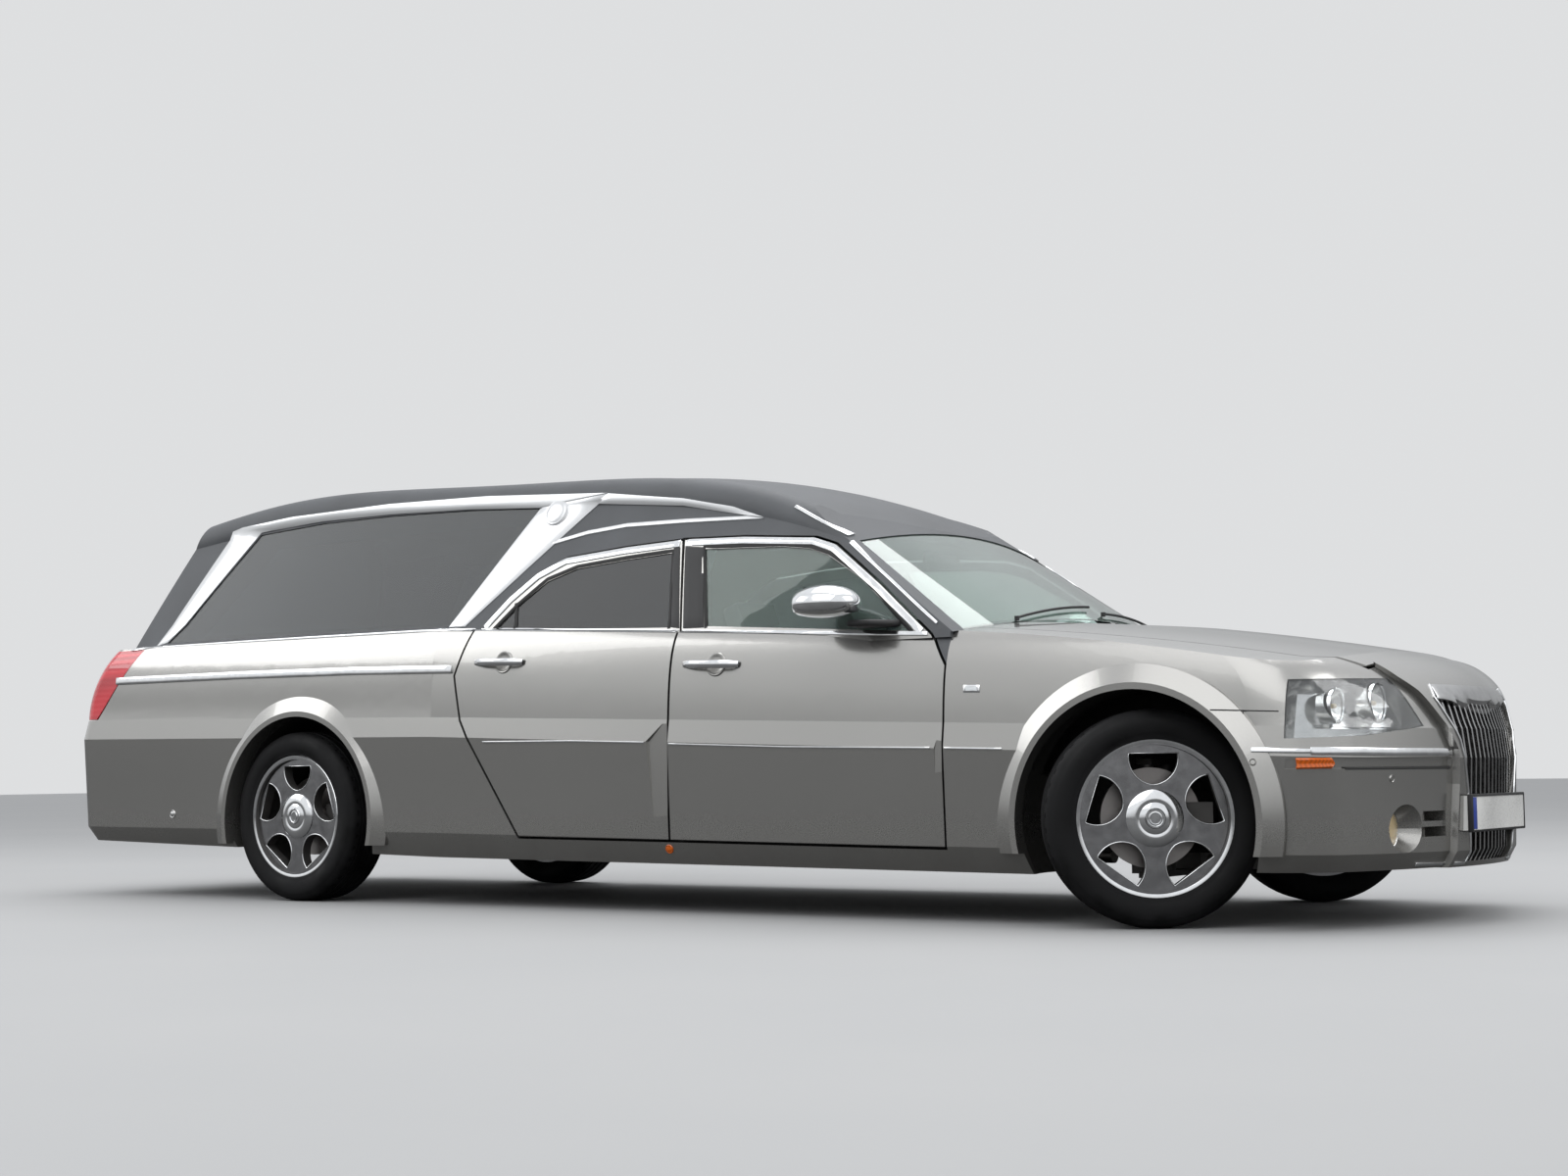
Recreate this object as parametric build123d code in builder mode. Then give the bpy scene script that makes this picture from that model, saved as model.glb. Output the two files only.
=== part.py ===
from build123d import *
import math
import os

os.makedirs("parts", exist_ok=True)

# A four-door hearse on a stretched saloon. Millimetres, X forward, Y to the car's left, Z up,
# with the origin on the ground below the middle of the car.

# Driving dimensions: layout
WHEELBASE = 3900.0
FRONT_OVERHANG = 930.0
REAR_OVERHANG = 1490.0
LENGTH = WHEELBASE + FRONT_OVERHANG + REAR_OVERHANG
NOSE_X = LENGTH / 2
TAIL_X = -LENGTH / 2
FRONT_AXLE_X = NOSE_X - FRONT_OVERHANG
REAR_AXLE_X = FRONT_AXLE_X - WHEELBASE
KNEE_X = REAR_AXLE_X + 815.0          # where the falling front body lines meet the level rear ones
HALF_WIDTH = 940.0
ROOF_Z = 1800.0

# Driving dimensions: wheels and steering
TRACK = 1603.0
TYRE_RADIUS = 357.0
HUB_Z = TYRE_RADIUS
TYRE_WIDTH = 225.0
TYRE_SHOULDER = 26.0
RIM_RADIUS = 256.0
RIM_WIDTH = 205.0
RIM_WALL = 16.0
KINGPIN_INSET = 70.0                  # kingpin inboard of the wheel's middle plane
STEER_ANGLE = 34.3                    # the front wheels stand turned to the left
SPOKES = 5
SPOKE_FACE = 88.0                     # the spokes' outer face from the wheel's middle plane
SPOKE_DEPTH = 45.0
HUB_RADIUS = 62.0
WINDOW_END = (212.0, 80.0)             # outer corner of a window between two spokes
WINDOW_FLANK = (142.0, 62.0)
WINDOW_ROOT = 108.0
DISC_RADIUS = 165.0
DISC_WIDTH = 28.0
DISC_INSET = 22.0                     # the disc's middle inboard of the wheel's middle plane
POST_RADIUS = 22.0
RUN_GAP = 5.0                         # clearance between pieces that turn past each other

# Driving dimensions: walls and gaps
SHUT_GAP = 10.0                       # round the doors
LEAD_GAP = 8.0                        # ahead of the front doors
PANEL_GAP = 6.0                       # beside and behind the bonnet
NOSE_GAP = 12.0                       # ahead of the bonnet
SEAT_GAP = 0.3
SIDE_WALL = 70.0
INNER_DROP = 60.0                     # how far the inner form runs on below the sills
ROOF_WALL = 34.0
GLASS = 5.0
GLASS_SET = 4.0                       # how far the panes lie inside the body's skin
BONNET_WALL = 28.0
SCUTTLE_X = FRONT_AXLE_X - 670.0      # the shut line between the front doors and the wings
BULKHEAD_X = SCUTTLE_X + 85.0
BULKHEAD_WALL = 60.0
BULKHEAD_Z = 940.0
BAY_HALF = 610.0
NOSE_SHELL = 215.0                    # depth of the bumper at the middle of the nose
PAN_Z = 232.0
PAN_TOP_Z = 290.0
ARCH_LEAD = 45.0
ARCH_Z = 345.0
FRONT_ARCH_RADIUS = 432.0
REAR_ARCH_RADIUS = 432.0
ARCH_DEPTH = 380.0
FLARE_WIDTH = 84.0                    # width of the proud ring round each arch
FLARE_LIP = 22.0                      # flat part of the ring beside the opening
FLARE_FALL = 28.0                     # how far the ring falls back from its lip to its outer edge
FLARE_FOOT_Z = 240.0
WELL_WALL = 12.0
SWEEP_RADIUS = 418.0                  # the front wheels' sweep about their kingpins
SWEEP_Y = 468.0                       # how far in the front wheels sweep
SWEEP = 1300.0                        # half length of a cutting prism across the car

WHEEL_Y = TRACK / 2
KINGPIN_Y = WHEEL_Y - KINGPIN_INSET
STEER = math.radians(STEER_ANGLE)


def from_front(points):
    """An outline whose first numbers are measured from the front axle."""
    return tuple((FRONT_AXLE_X + x, z) for x, z in points)


def from_rear(points):
    """An outline whose first numbers are measured from the rear axle."""
    return tuple((REAR_AXLE_X + x, z) for x, z in points)


# Waterlines of the lower body: height at the knee, at the nose and at the tail, half width,
# how far the nose and the tail stand back
WATERLINES = (
    (195.0, 159.0, 250.0, HALF_WIDTH - 45, 60.0, 55.0),
    (293.0, 240.0, 310.0, HALF_WIDTH - 15, 15.0, 20.0),
    (678.0, 541.0, 706.0, HALF_WIDTH, 0.0, 0.0),
    (757.0, 637.0, 797.0, HALF_WIDTH - 12, 12.0, 20.0),
    (900.0, 740.0, 935.0, HALF_WIDTH - 20, 45.0, 50.0),
    (1020.0, 830.0, 1045.0, HALF_WIDTH - 38, 115.0, 115.0),
    (1112.0, 895.0, 1120.0, HALF_WIDTH - 72, 250.0, 180.0),
    (1190.0, 960.0, 1200.0, HALF_WIDTH - 130, 420.0, 290.0),
)
RULED_ROWS = 4
NOSE_STEP = 25.0                      # how far the nose panel stands ahead of the bumper
NOSE_ARC = 1700.0
TAIL_ARC = 5200.0
NOSE_CORNER = 290.0
TAIL_CORNER = 80.0
NOSE_TAPER = 25.0
TAIL_TAPER = 12.0

# The bonnet and wings share one crowned surface that falls towards the nose
CROWN_RADIUS = 4700.0
CROWN_ARC = 18.0
BONNET_LINE = from_front(((-670.0, 1078.0), (147.0, 990.0), (1065.0, 822.0)))
BONNET_PLAN = from_front(((-640.0, 745.0), (555.0, 700.0), (695.0, 540.0)))
BONNET_REAR_X = FRONT_AXLE_X - 495.0
BONNET_FRONT_X = FRONT_AXLE_X + 722.0

# Side windows lean inwards on the line half width = LEAN_FOOT - LEAN * z
LEAN_FOOT = 1240.0
LEAN = 0.377
ROOF_FOOT = 980.0
ROOF_CROWN = 40.0
ROOF_EDGE_Y = 0.82                    # where the roof's arc meets its corner, as a share of the eaves

# Roof sections along the car: x, height of the roof's crown, drop to the eaves, pull-in of the sides
ROOF_SECTIONS = (
    (REAR_AXLE_X - 1600.0, 1690.0, 150.0, 60.0),
    (REAR_AXLE_X - 785.0, 1752.0, 155.0, 25.0),
    (REAR_AXLE_X + 215.0, ROOF_Z, 160.0, 0.0),
    (FRONT_AXLE_X - 2485.0, 1745.0, 150.0, 0.0),
    (FRONT_AXLE_X - 1585.0, 1618.0, 140.0, 0.0),
    (FRONT_AXLE_X - 1085.0, 1412.0, 90.0, 0.0),
    (FRONT_AXLE_X - 485.0, 1119.0, 60.0, 0.0),
)
SCREEN_FOOT, SCREEN_HEAD = from_front(((-485.0, 1040.0), (-1143.0, 1444.0)))
SCREEN_RADIUS = 3000.0
SCREEN_OPENING = ((-822.0, 985.0), (-684.0, 1362.0))
SCREEN_CROWN = 62.0
TAIL_FOOT, TAIL_HEAD = from_rear(((-1320.0, 1100.0), (-985.0, 1690.0)))
TAIL_RADIUS = 3200.0

# Outlines in side view
BELT_Z = 1108.0
BELT_FALL = 0.0489                    # the belt line's fall for each millimetre ahead of the knee
DOOR_LEAD = -670.0 - LEAD_GAP
FRONT_DOOR = from_front((
    (-1864.0, 275.0), (DOOR_LEAD, 259.0), (DOOR_LEAD, 880.0), (-749.0, 990.0), (-994.0, 1181.0),
    (-1230.0, 1347.0), (-1329.0, 1379.0), (-1662.0, 1405.0), (-1948.0, 1414.0), (-1864.0, 1055.0),
))
REAR_DOOR = from_front((
    (-1874.0, 275.0), (-1874.0, 1055.0), (-1961.0, 1412.0), (-2234.0, 1401.0), (-2529.0, 1377.0),
    (-2664.0, 1316.0), (-2788.0, 1214.0), (-2897.0, 1098.0), (-2960.0, 920.0), (-2920.0, 744.0),
    (-2615.0, 283.0),
))
FRONT_GLASS = from_front((
    (-1755.0, 1068.0), (-1850.0, 1372.0), (-1469.0, 1356.0), (-1346.0, 1340.0), (-1255.0, 1309.0),
    (-1086.0, 1211.0), (-833.0, 1008.0),
))
REAR_GLASS = from_front((
    (-1922.0, 1070.0), (-1995.0, 1366.0), (-2219.0, 1353.0), (-2465.0, 1332.0), (-2605.0, 1289.0),
    (-2730.0, 1195.0), (-2825.0, 1102.0),
))
LOAD_GLASS = from_front(((-2749.0, 1605.0), (-3084.0, 1126.0))) + from_rear((
    (-970.0, 1134.0), (-878.0, 1213.0), (-537.0, 1612.0), (-135.0, 1635.0), (288.0, 1637.0),
)) + from_front(((-3149.0, 1626.0),))
FRONT_CHANNEL = from_front((
    (-703.0, 200.0), (-707.0, 595.0), (-678.0, 690.0), (-600.0, 690.0), (-600.0, 200.0),
))
REAR_CHANNEL = from_front((
    (-1925.0, 200.0), (-1968.0, 640.0), (-1895.0, 705.0), (-1800.0, 705.0), (-1800.0, 200.0),
))
CHANNEL_DEPTH = 14.0
DOOR_INNER_Y = 610.0                  # no door reaches further in than this

# Tail: outlines in rear view and side view
TAIL_SILL_Z = 820.0
TAIL_GAP = 8.0
TAILGATE = ((-690.0, TAIL_SILL_Z + TAIL_GAP), (-700.0, 1100.0), (-560.0, 1560.0), (-420.0, 1695.0))
TAILGATE_HOLE = ((-698.0, TAIL_SILL_Z), (-708.0, 1103.0), (-568.0, 1565.0), (-424.0, 1705.0))
TAILGATE_PANE = ((-600.0, 1180.0), (-490.0, 1540.0), (-400.0, 1625.0))
TAIL_HINGE_X = REAR_AXLE_X - 975.0
TAIL_HINGE_Z = 1708.0
TAIL_HINGE_Y = (220.0, 260.0, 300.0)  # the roof's barrel and the tailgate's beside it
TAIL_PIN_RADIUS = 5.0
ROOF_LEAF = ((-3.0, 4.0), (16.0, 37.0), (44.0, 39.0), (44.0, 20.0), (14.0, -1.0), (3.0, -4.0))
GATE_LEAF = ((-5.0, 1.0), (-7.0, -10.0), (-37.0, -70.0), (-27.0, -76.0), (7.0, -15.0), (4.5, -2.0))
REAR_BUMPER_Z = 790.0
REAR_BUMPER_X = REAR_AXLE_X - 440.0
TAIL_LAMP_Z = REAR_BUMPER_Z + 4.0
TAIL_LAMP_TOP_Z = 1103.0
TAIL_LAMP_Y = 709.0
TAIL_LAMP_SIDE = from_rear(((-1295.0, TAIL_LAMP_Z), (-1025.0, TAIL_LAMP_TOP_Z)))

# Nose: outlines in front view
BUMPER_BOTTOM_Z = 188.0
BUMPER_LINE = (708.0, 650.0)          # the bumper's upper edge at the wheel arch and at the nose
NOSE_PANEL = ((-300.0, 186.0), (-285.0, 457.0), (-285.0, 570.0), (-330.0, 650.0), (-420.0, 760.0),
              (-480.0, 805.0), (-540.0, 880.0), (-540.0, 1000.0))
NOSE_PANEL_BACK_X = FRONT_AXLE_X + 650.0
NOSE_BAY_Z = 700.0                    # the engine bay's top behind the nose
GRILLE = ((-200.0, 204.0), (-222.0, 420.0), (-262.0, 600.0), (-345.0, 740.0), (-330.0, 775.0))
GRILLE_BARS = 19
GRILLE_BAR = 10.0
GRILLE_BACK = 45.0
GRILLE_BACK_X = FRONT_AXLE_X + 740.0
GRILLE_STEP = 12.0
HEADLAMP = ((-1000.0, 604.0), (-1000.0, 792.0), (-500.0, 800.0), (-420.0, 645.0), (-700.0, 615.0))
HEADLAMP_BACK_X = FRONT_AXLE_X + 557.0
LENS = (-6.0, 6.0, -4.0)              # from the lens's outer skin to its inner skin
LAMP_UNIT = (-62.0, 48.0, -6.0)       # from the lens's outer skin to the reflectors' rims
LAMP_BOWLS = ((-575.0, 718.0, 66.0, 2915.0), (-742.0, 708.0, 58.0, 2850.0))
FOG_LAMP_Y = 542.0
FOG_LAMP_Z = 317.0
FOG_LAMP_RADIUS = 56.0
FOG_LAMP_X = FRONT_AXLE_X + 758.0     # the fog lamps' faces
FOG_BEZEL = ((750.0, 56.0), (830.0, 86.0), (1000.0, 86.0))
VENT = ((-452.0, 372.0), (-330.0, 372.0), (-322.0, 290.0), (-458.0, 290.0))
VENT_BAR = (322.0, 340.0)
VENT_DEPTH = 70.0
SHELF_GROOVE = ((-900.0, 512.0), (-900.0, 546.0), (-293.0, 546.0), (-293.0, 512.0))
GROOVE_DEPTH = 12.0
PLATE_WIDTH = 520.0
PLATE_HEIGHT = 112.0
FRONT_PLATE_Z = 361.0
REAR_PLATE_Z = 540.0
PLATE_DEPTH = 60.0

# Under the body
FRAME_Y = 464.0
FRAME_END_X = NOSE_X - NOSE_SHELL - SEAT_GAP
PIPE_RADIUS = 32.0
PIPE_Z = PAN_Z - PIPE_RADIUS - SEAT_GAP
JACK_PADS_X = (FRONT_AXLE_X - 900.0, REAR_AXLE_X + 900.0)
JACK_PAD_Y = 640.0
JACK_PAD = (160.0, 80.0, 16.0)
POST_FOOT_Z = 178.0
POST_TOP_Z = HUB_Z + DISC_RADIUS + 2 * RUN_GAP
STUB_RADIUS = 20.0
ARM_HALF = 28.0
ARM_DEPTH = 20.0
DAMPER_Y = 590.0
ENGINE_Z = 330.0
ENGINE_MOUNT_Y = 220.0

# Inside: cabin and load space
PARTITION_X = FRONT_AXLE_X - 3085.0
PARTITION_WALL = 30.0
PARTITION_Z = 1080.0
DECK_Z = 794.0
DECK_TOP_Z = 812.0
BIER_HALF = 320.0
BIER_RISE = 14.0
BIER_X = (PARTITION_X - 130.0, PARTITION_X - 1980.0)
SEAT_Y = 395.0
SEAT_WIDTH = 500.0
BENCH_WIDTH = 1150.0
FRONT_SEAT_X = FRONT_AXLE_X - 1690.0
BENCH_X = PARTITION_X + 265.0
DASH_X = FRONT_AXLE_X - 1040.0
DASH_HALF = 700.0
STEERING_X = FRONT_AXLE_X - 1215.0
STEERING_Y = -370.0
STEERING_Z = 880.0
STEERING_TILT = -62.0
STEERING_RADIUS = 185.0
COLUMN_RADIUS = 25.0
COLUMN_LENGTH = 260.0


def belt_z(x):
    """Height of the belt line at one place along the car."""
    return BELT_Z - BELT_FALL * max(x - KNEE_X, 0.0)


def waterline(row, front, inset):
    """One plan outline of the lower body, ahead of the knee or behind it."""
    knee_z, nose_z, tail_z, half, nose_back, tail_back = row
    reach = NOSE_X - NOSE_STEP - KNEE_X if front else KNEE_X - TAIL_X
    rise = nose_z - knee_z if front else tail_z - knee_z
    tilt = math.atan2(rise, reach)
    way = 1.0 if front else -1.0
    plane = Plane(
        origin=(KNEE_X, 0, knee_z),
        x_dir=(way * math.cos(tilt), 0, math.sin(tilt)),
        z_dir=(-way * math.sin(tilt), 0, math.cos(tilt)),
    )
    width = half - inset
    tip = reach - (nose_back if front else tail_back) - inset
    taper = NOSE_TAPER if front else TAIL_TAPER
    bow = NOSE_ARC if front else TAIL_ARC
    corner = (NOSE_CORNER if front else TAIL_CORNER) - min(inset, 60)
    end_half = width - taper
    shoulder = tip - bow + math.sqrt(bow * bow - end_half * end_half)
    with BuildSketch(plane) as outline:
        with BuildLine():
            ThreePointArc((0, -width), (shoulder / 2, -width + taper / 4), (shoulder, -end_half))
            ThreePointArc((shoulder, -end_half), (tip, 0), (shoulder, end_half))
            ThreePointArc((shoulder, end_half), (shoulder / 2, width - taper / 4), (0, width))
            Line((0, width), (-40, width))
            Line((-40, width), (-40, -width))
            Line((-40, -width), (0, -width))
        make_face()
        ends = outline.vertices().group_by(SortBy.DISTANCE)[-1]
        fillet(ends, radius=corner)
    return outline.sketch


def lower_body(inset):
    """The closed form of the lower body; the inner form runs on below the sills."""
    knee_z, nose_z, tail_z, *others = WATERLINES[0]
    drop = INNER_DROP if inset else 0.0
    table = ((knee_z - drop, nose_z - drop, tail_z - drop, *others),) + WATERLINES[1:]
    halves = []
    for front in (True, False):
        rows = [waterline(row, front, inset) for row in table]
        with BuildPart() as skirt:
            loft(sections=rows[:RULED_ROWS], ruled=True)
        with BuildPart() as flank:
            loft(sections=rows[RULED_ROWS - 1:])
        with BuildPart() as half:
            add(skirt.part)
            add(flank.part)
            split(bisect_by=Plane(origin=(KNEE_X, 0, 0), z_dir=(1, 0, 0)),
                  keep=Keep.TOP if front else Keep.BOTTOM)
        halves.append(half.part)
    with BuildPart() as whole:
        add(halves[0])
        add(halves[1])
    return whole.part


def side_prism(points):
    """A side-view outline pulled across the whole car."""
    with BuildPart() as prism:
        with BuildSketch(Plane(origin=(0, SWEEP, 0), x_dir=(1, 0, 0), z_dir=(0, -1, 0))):
            with BuildLine():
                Polyline(*points, close=True)
            make_face()
        extrude(amount=2 * SWEEP)
    return prism.part


def front_prism(points, near, far):
    """A front-view outline (y, z) pulled along the car from x = near to x = far."""
    with BuildPart() as prism:
        with BuildSketch(Plane(origin=(near, 0, 0), x_dir=(0, 1, 0), z_dir=(1, 0, 0))):
            with BuildLine():
                Polyline(*points, close=True)
            make_face()
        extrude(amount=far - near)
    return prism.part


def both_sides(points):
    """The outline of one side followed by its mirror image, as one closed list."""
    return tuple(points) + tuple((-y, z) for y, z in reversed(points))


def block(x0, x1, y0, y1, z0, z1):
    """A plain block between two corners."""
    with BuildPart() as solid:
        with BuildSketch(Plane.XY.offset(z0)):
            with Locations(((x0 + x1) / 2, (y0 + y1) / 2)):
                Rectangle(x1 - x0, y1 - y0)
        extrude(amount=z1 - z0)
    return solid.part


def meet(first, *others):
    """What several solids have in common."""
    with BuildPart() as common:
        add(first)
        for other in others:
            add(other, mode=Mode.INTERSECT)
    return common.part


def less(first, *others):
    """One solid with others cut away."""
    with BuildPart() as rest:
        add(first)
        for other in others:
            add(other, mode=Mode.SUBTRACT)
    return rest.part


def joined(*parts):
    """Several solids fused."""
    with BuildPart() as whole:
        for item in parts:
            add(item)
    return whole.part


def pair(shape):
    """A solid of the right side together with its mirror image."""
    return joined(shape, mirror(shape, about=Plane.XZ))


def write(shape, name):
    """Label a finished piece and write its file."""
    shape.label = name
    export_step(shape, "parts/" + name + ".step")


def grown(points, amount):
    """An outline pushed outwards all round by an amount."""
    with BuildSketch() as sheet:
        with BuildLine():
            Polyline(*points, close=True)
        make_face()
        offset(amount=amount, kind=Kind.INTERSECTION)
    ring = sheet.sketch.faces()[0].outer_wire()
    return tuple((v.X, v.Y) for v in (e.position_at(0) for e in ring.order_edges()))


def under_bonnet_line(drop):
    """All that lies under the crowned bonnet surface, lowered by a drop."""
    (x0, z0), (x1, z1), (x2, z2) = BONNET_LINE
    centre_z = z1 - CROWN_RADIUS
    with BuildPart() as region:
        with BuildSketch(Plane.XZ):
            with BuildLine():
                ThreePointArc((x0, z0 - drop), (x1, z1 - drop), (x2, z2 - drop))
                Polyline((x2, z2 - drop), (x2, -100), (x0, -100), (x0, z0 - drop))
            make_face()
        revolve(axis=Axis((0, 0, centre_z), (1, 0, 0)), revolution_arc=CROWN_ARC)
    return pair(region.part)


def roof_section(row, inset):
    """One arch of the upper body across the car."""
    x, crown_z, drop, pull = row
    crown = crown_z - inset
    eaves_z = crown_z - drop - inset * 0.4
    foot_y = LEAN_FOOT - LEAN * ROOF_FOOT - pull - inset * 1.07
    eaves_y = LEAN_FOOT - LEAN * eaves_z - pull - inset * 1.07
    edge_y = eaves_y * ROOF_EDGE_Y
    edge_z = crown - ROOF_CROWN
    side_mid = ((foot_y + eaves_y) / 2 + 5, (ROOF_FOOT + eaves_z) / 2)
    knee = (eaves_y - (eaves_y - edge_y) * 0.22, edge_z - (edge_z - eaves_z) * 0.22)
    with BuildSketch(Plane(origin=(x, 0, 0), x_dir=(0, 1, 0), z_dir=(1, 0, 0))) as arch:
        with BuildLine():
            Line((-foot_y, ROOF_FOOT), (foot_y, ROOF_FOOT))
            ThreePointArc((foot_y, ROOF_FOOT), side_mid, (eaves_y, eaves_z))
            ThreePointArc((eaves_y, eaves_z), knee, (edge_y, edge_z))
            ThreePointArc((edge_y, edge_z), (0, crown), (-edge_y, edge_z))
            ThreePointArc((-edge_y, edge_z), (-knee[0], knee[1]), (-eaves_y, eaves_z))
            ThreePointArc((-eaves_y, eaves_z), (-side_mid[0], side_mid[1]), (-foot_y, ROOF_FOOT))
        make_face()
    return arch.sketch


def slope_frame(foot, top, back):
    """The upward and the outward direction of a sloping cylinder."""
    angle = math.atan2(top[1] - foot[1], top[0] - foot[0])
    along = Vector(math.cos(angle), 0, math.sin(angle))
    out = Vector(-math.sin(angle), 0, math.cos(angle))
    if (out.X < 0) != back:
        out = out * -1
    return along, out


def slope_cylinder(foot, top, radius, inset, back):
    """A wide cylinder whose skin runs from foot to top on the car's middle line."""
    along, out = slope_frame(foot, top, back)
    centre = Vector(foot[0], 0, foot[1]) - out * radius - along * 4000
    with BuildPart() as barrel:
        with BuildSketch(Plane(origin=centre, z_dir=along)):
            Circle(radius - inset)
        extrude(amount=12000)
    return barrel.part


def upper_body(inset):
    """The closed form of the upper body, cut by the windscreen and by the sloping tail."""
    with BuildPart() as arch:
        loft(sections=[roof_section(row, inset) for row in ROOF_SECTIONS])
        add(slope_cylinder(SCREEN_FOOT, SCREEN_HEAD, SCREEN_RADIUS, inset, False),
            mode=Mode.INTERSECT)
        add(slope_cylinder(TAIL_FOOT, TAIL_HEAD, TAIL_RADIUS, inset, True), mode=Mode.INTERSECT)
    return arch.part


def wheel_wells(x, radius, depth):
    """The pair of wheel-arch cylinders at one axle."""
    with BuildPart() as cutters:
        for side in (-1, 1):
            with BuildSketch(Plane(origin=(x + ARCH_LEAD, side * (HALF_WIDTH + 40), ARCH_Z),
                                   z_dir=(0, -side, 0))):
                Circle(radius)
            extrude(amount=depth)
    return cutters.part


def steer_space():
    """The room that the front wheels sweep as they steer."""
    with BuildPart() as balls:
        with Locations((FRONT_AXLE_X, -KINGPIN_Y, HUB_Z), (FRONT_AXLE_X, KINGPIN_Y, HUB_Z)):
            Sphere(SWEEP_RADIUS)
    return less(balls.part, block(BULKHEAD_X, NOSE_X, -SWEEP_Y, SWEEP_Y, -200, 1000))


def bonnet_prism(side_gap, front_gap):
    """The bonnet's plan outline pulled upwards, grown by its gaps."""
    (x0, y0), (x1, y1), (x2, y2) = BONNET_PLAN
    with BuildPart() as prism:
        with BuildSketch(Plane.XY.offset(500)):
            with BuildLine():
                ThreePointArc((x0 - side_gap, -y0 - side_gap), (BONNET_REAR_X - side_gap, 0),
                              (x0 - side_gap, y0 + side_gap))
                Polyline((x0 - side_gap, y0 + side_gap), (x1, y1 + side_gap),
                         (x2 + front_gap, y2 + front_gap))
                ThreePointArc((x2 + front_gap, y2 + front_gap), (BONNET_FRONT_X + front_gap, 0),
                              (x2 + front_gap, -y2 - front_gap))
                Polyline((x2 + front_gap, -y2 - front_gap), (x1, -y1 - side_gap),
                         (x0 - side_gap, -y0 - side_gap))
            make_face()
        extrude(amount=900)
    return prism.part


def upright_rod(x, y, z0, z1, radius):
    """A round upright bar."""
    with BuildPart() as rod:
        with BuildSketch(Plane.XY.offset(z0)):
            with Locations((x, y)):
                Circle(radius)
        extrude(amount=z1 - z0)
    return rod.part


def cross_rod(x, z, y0, y1, radius):
    """A round bar across the car."""
    with BuildPart() as rod:
        with BuildSketch(Plane(origin=(x, y0, z), x_dir=(1, 0, 0), z_dir=(0, 1, 0))):
            Circle(radius)
        extrude(amount=y1 - y0)
    return rod.part


def arch_flares(x, radius, half):
    """The proud rings round the pair of arches at one axle."""
    rim = radius - 8
    edge = radius + FLARE_WIDTH
    with BuildPart() as ring:
        with BuildSketch(Plane.XY.offset(ARCH_Z)):
            with BuildLine():
                Polyline((x + ARCH_LEAD + rim, -half + 40), (x + ARCH_LEAD + rim, -half),
                         (x + ARCH_LEAD + radius + FLARE_LIP, -half), (x + ARCH_LEAD + edge, -half + FLARE_FALL),
                         (x + ARCH_LEAD + edge, -half + 40), close=True)
            make_face()
        revolve(axis=Axis((x + ARCH_LEAD, 0, ARCH_Z), (0, 1, 0)))
    return pair(meet(ring.part, block(x - 800, x + 900, -SWEEP, 0, FLARE_FOOT_Z, 1000)))


# Closed forms of the body
body_form = joined(lower_body(0.0), arch_flares(FRONT_AXLE_X, FRONT_ARCH_RADIUS, HALF_WIDTH + 4),
                   arch_flares(REAR_AXLE_X, REAR_ARCH_RADIUS, HALF_WIDTH + 10))
inner_form = lower_body(SIDE_WALL)
upper_form = upper_body(0.0)
upper_inside = upper_body(ROOF_WALL)
panes = less(upper_body(GLASS_SET), upper_body(GLASS_SET + GLASS))
crown_region = under_bonnet_line(0.0)
under_bonnet = under_bonnet_line(BONNET_WALL)
front_wells = joined(wheel_wells(FRONT_AXLE_X, FRONT_ARCH_RADIUS, ARCH_DEPTH), steer_space())
rear_wells = wheel_wells(REAR_AXLE_X, REAR_ARCH_RADIUS, ARCH_DEPTH)

rear_outline = ((TAIL_X - 100, -50), (TAIL_X - 100, BELT_Z + 4), (KNEE_X, BELT_Z),
                (SCUTTLE_X, belt_z(SCUTTLE_X)), (SCUTTLE_X, -50))
front_block = meet(body_form, crown_region)
rear_block = meet(body_form, side_prism(rear_outline))
upper_wall = less(upper_form, upper_inside, crown_region)
lower_wall = less(rear_block, inner_form, rear_wells)
wall = joined(lower_wall, upper_wall)

# Doors
right_side = block(TAIL_X - 50, NOSE_X + 50, -SWEEP, -DOOR_INNER_Y, -50, 2000)
DOORS = (
    ("front", FRONT_DOOR, FRONT_GLASS, FRONT_CHANNEL),
    ("rear", REAR_DOOR, REAR_GLASS, REAR_CHANNEL),
)
skin_side = block(TAIL_X, NOSE_X, -SWEEP, -HALF_WIDTH + CHANNEL_DEPTH, -50, 2000)
for place, door_outline, glass_outline, channel_outline in DOORS:
    glass_prism = side_prism(glass_outline)
    channel = meet(side_prism(channel_outline), skin_side)
    leaf = less(meet(wall, side_prism(door_outline), right_side), glass_prism, channel)
    pane = meet(panes, glass_prism, right_side)
    write(leaf, "door_" + place + "_right_panel")
    write(mirror(leaf, about=Plane.XZ), "door_" + place + "_left_panel")
    write(pane, "door_" + place + "_right_glass")
    write(mirror(pane, about=Plane.XZ), "door_" + place + "_left_glass")

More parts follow.
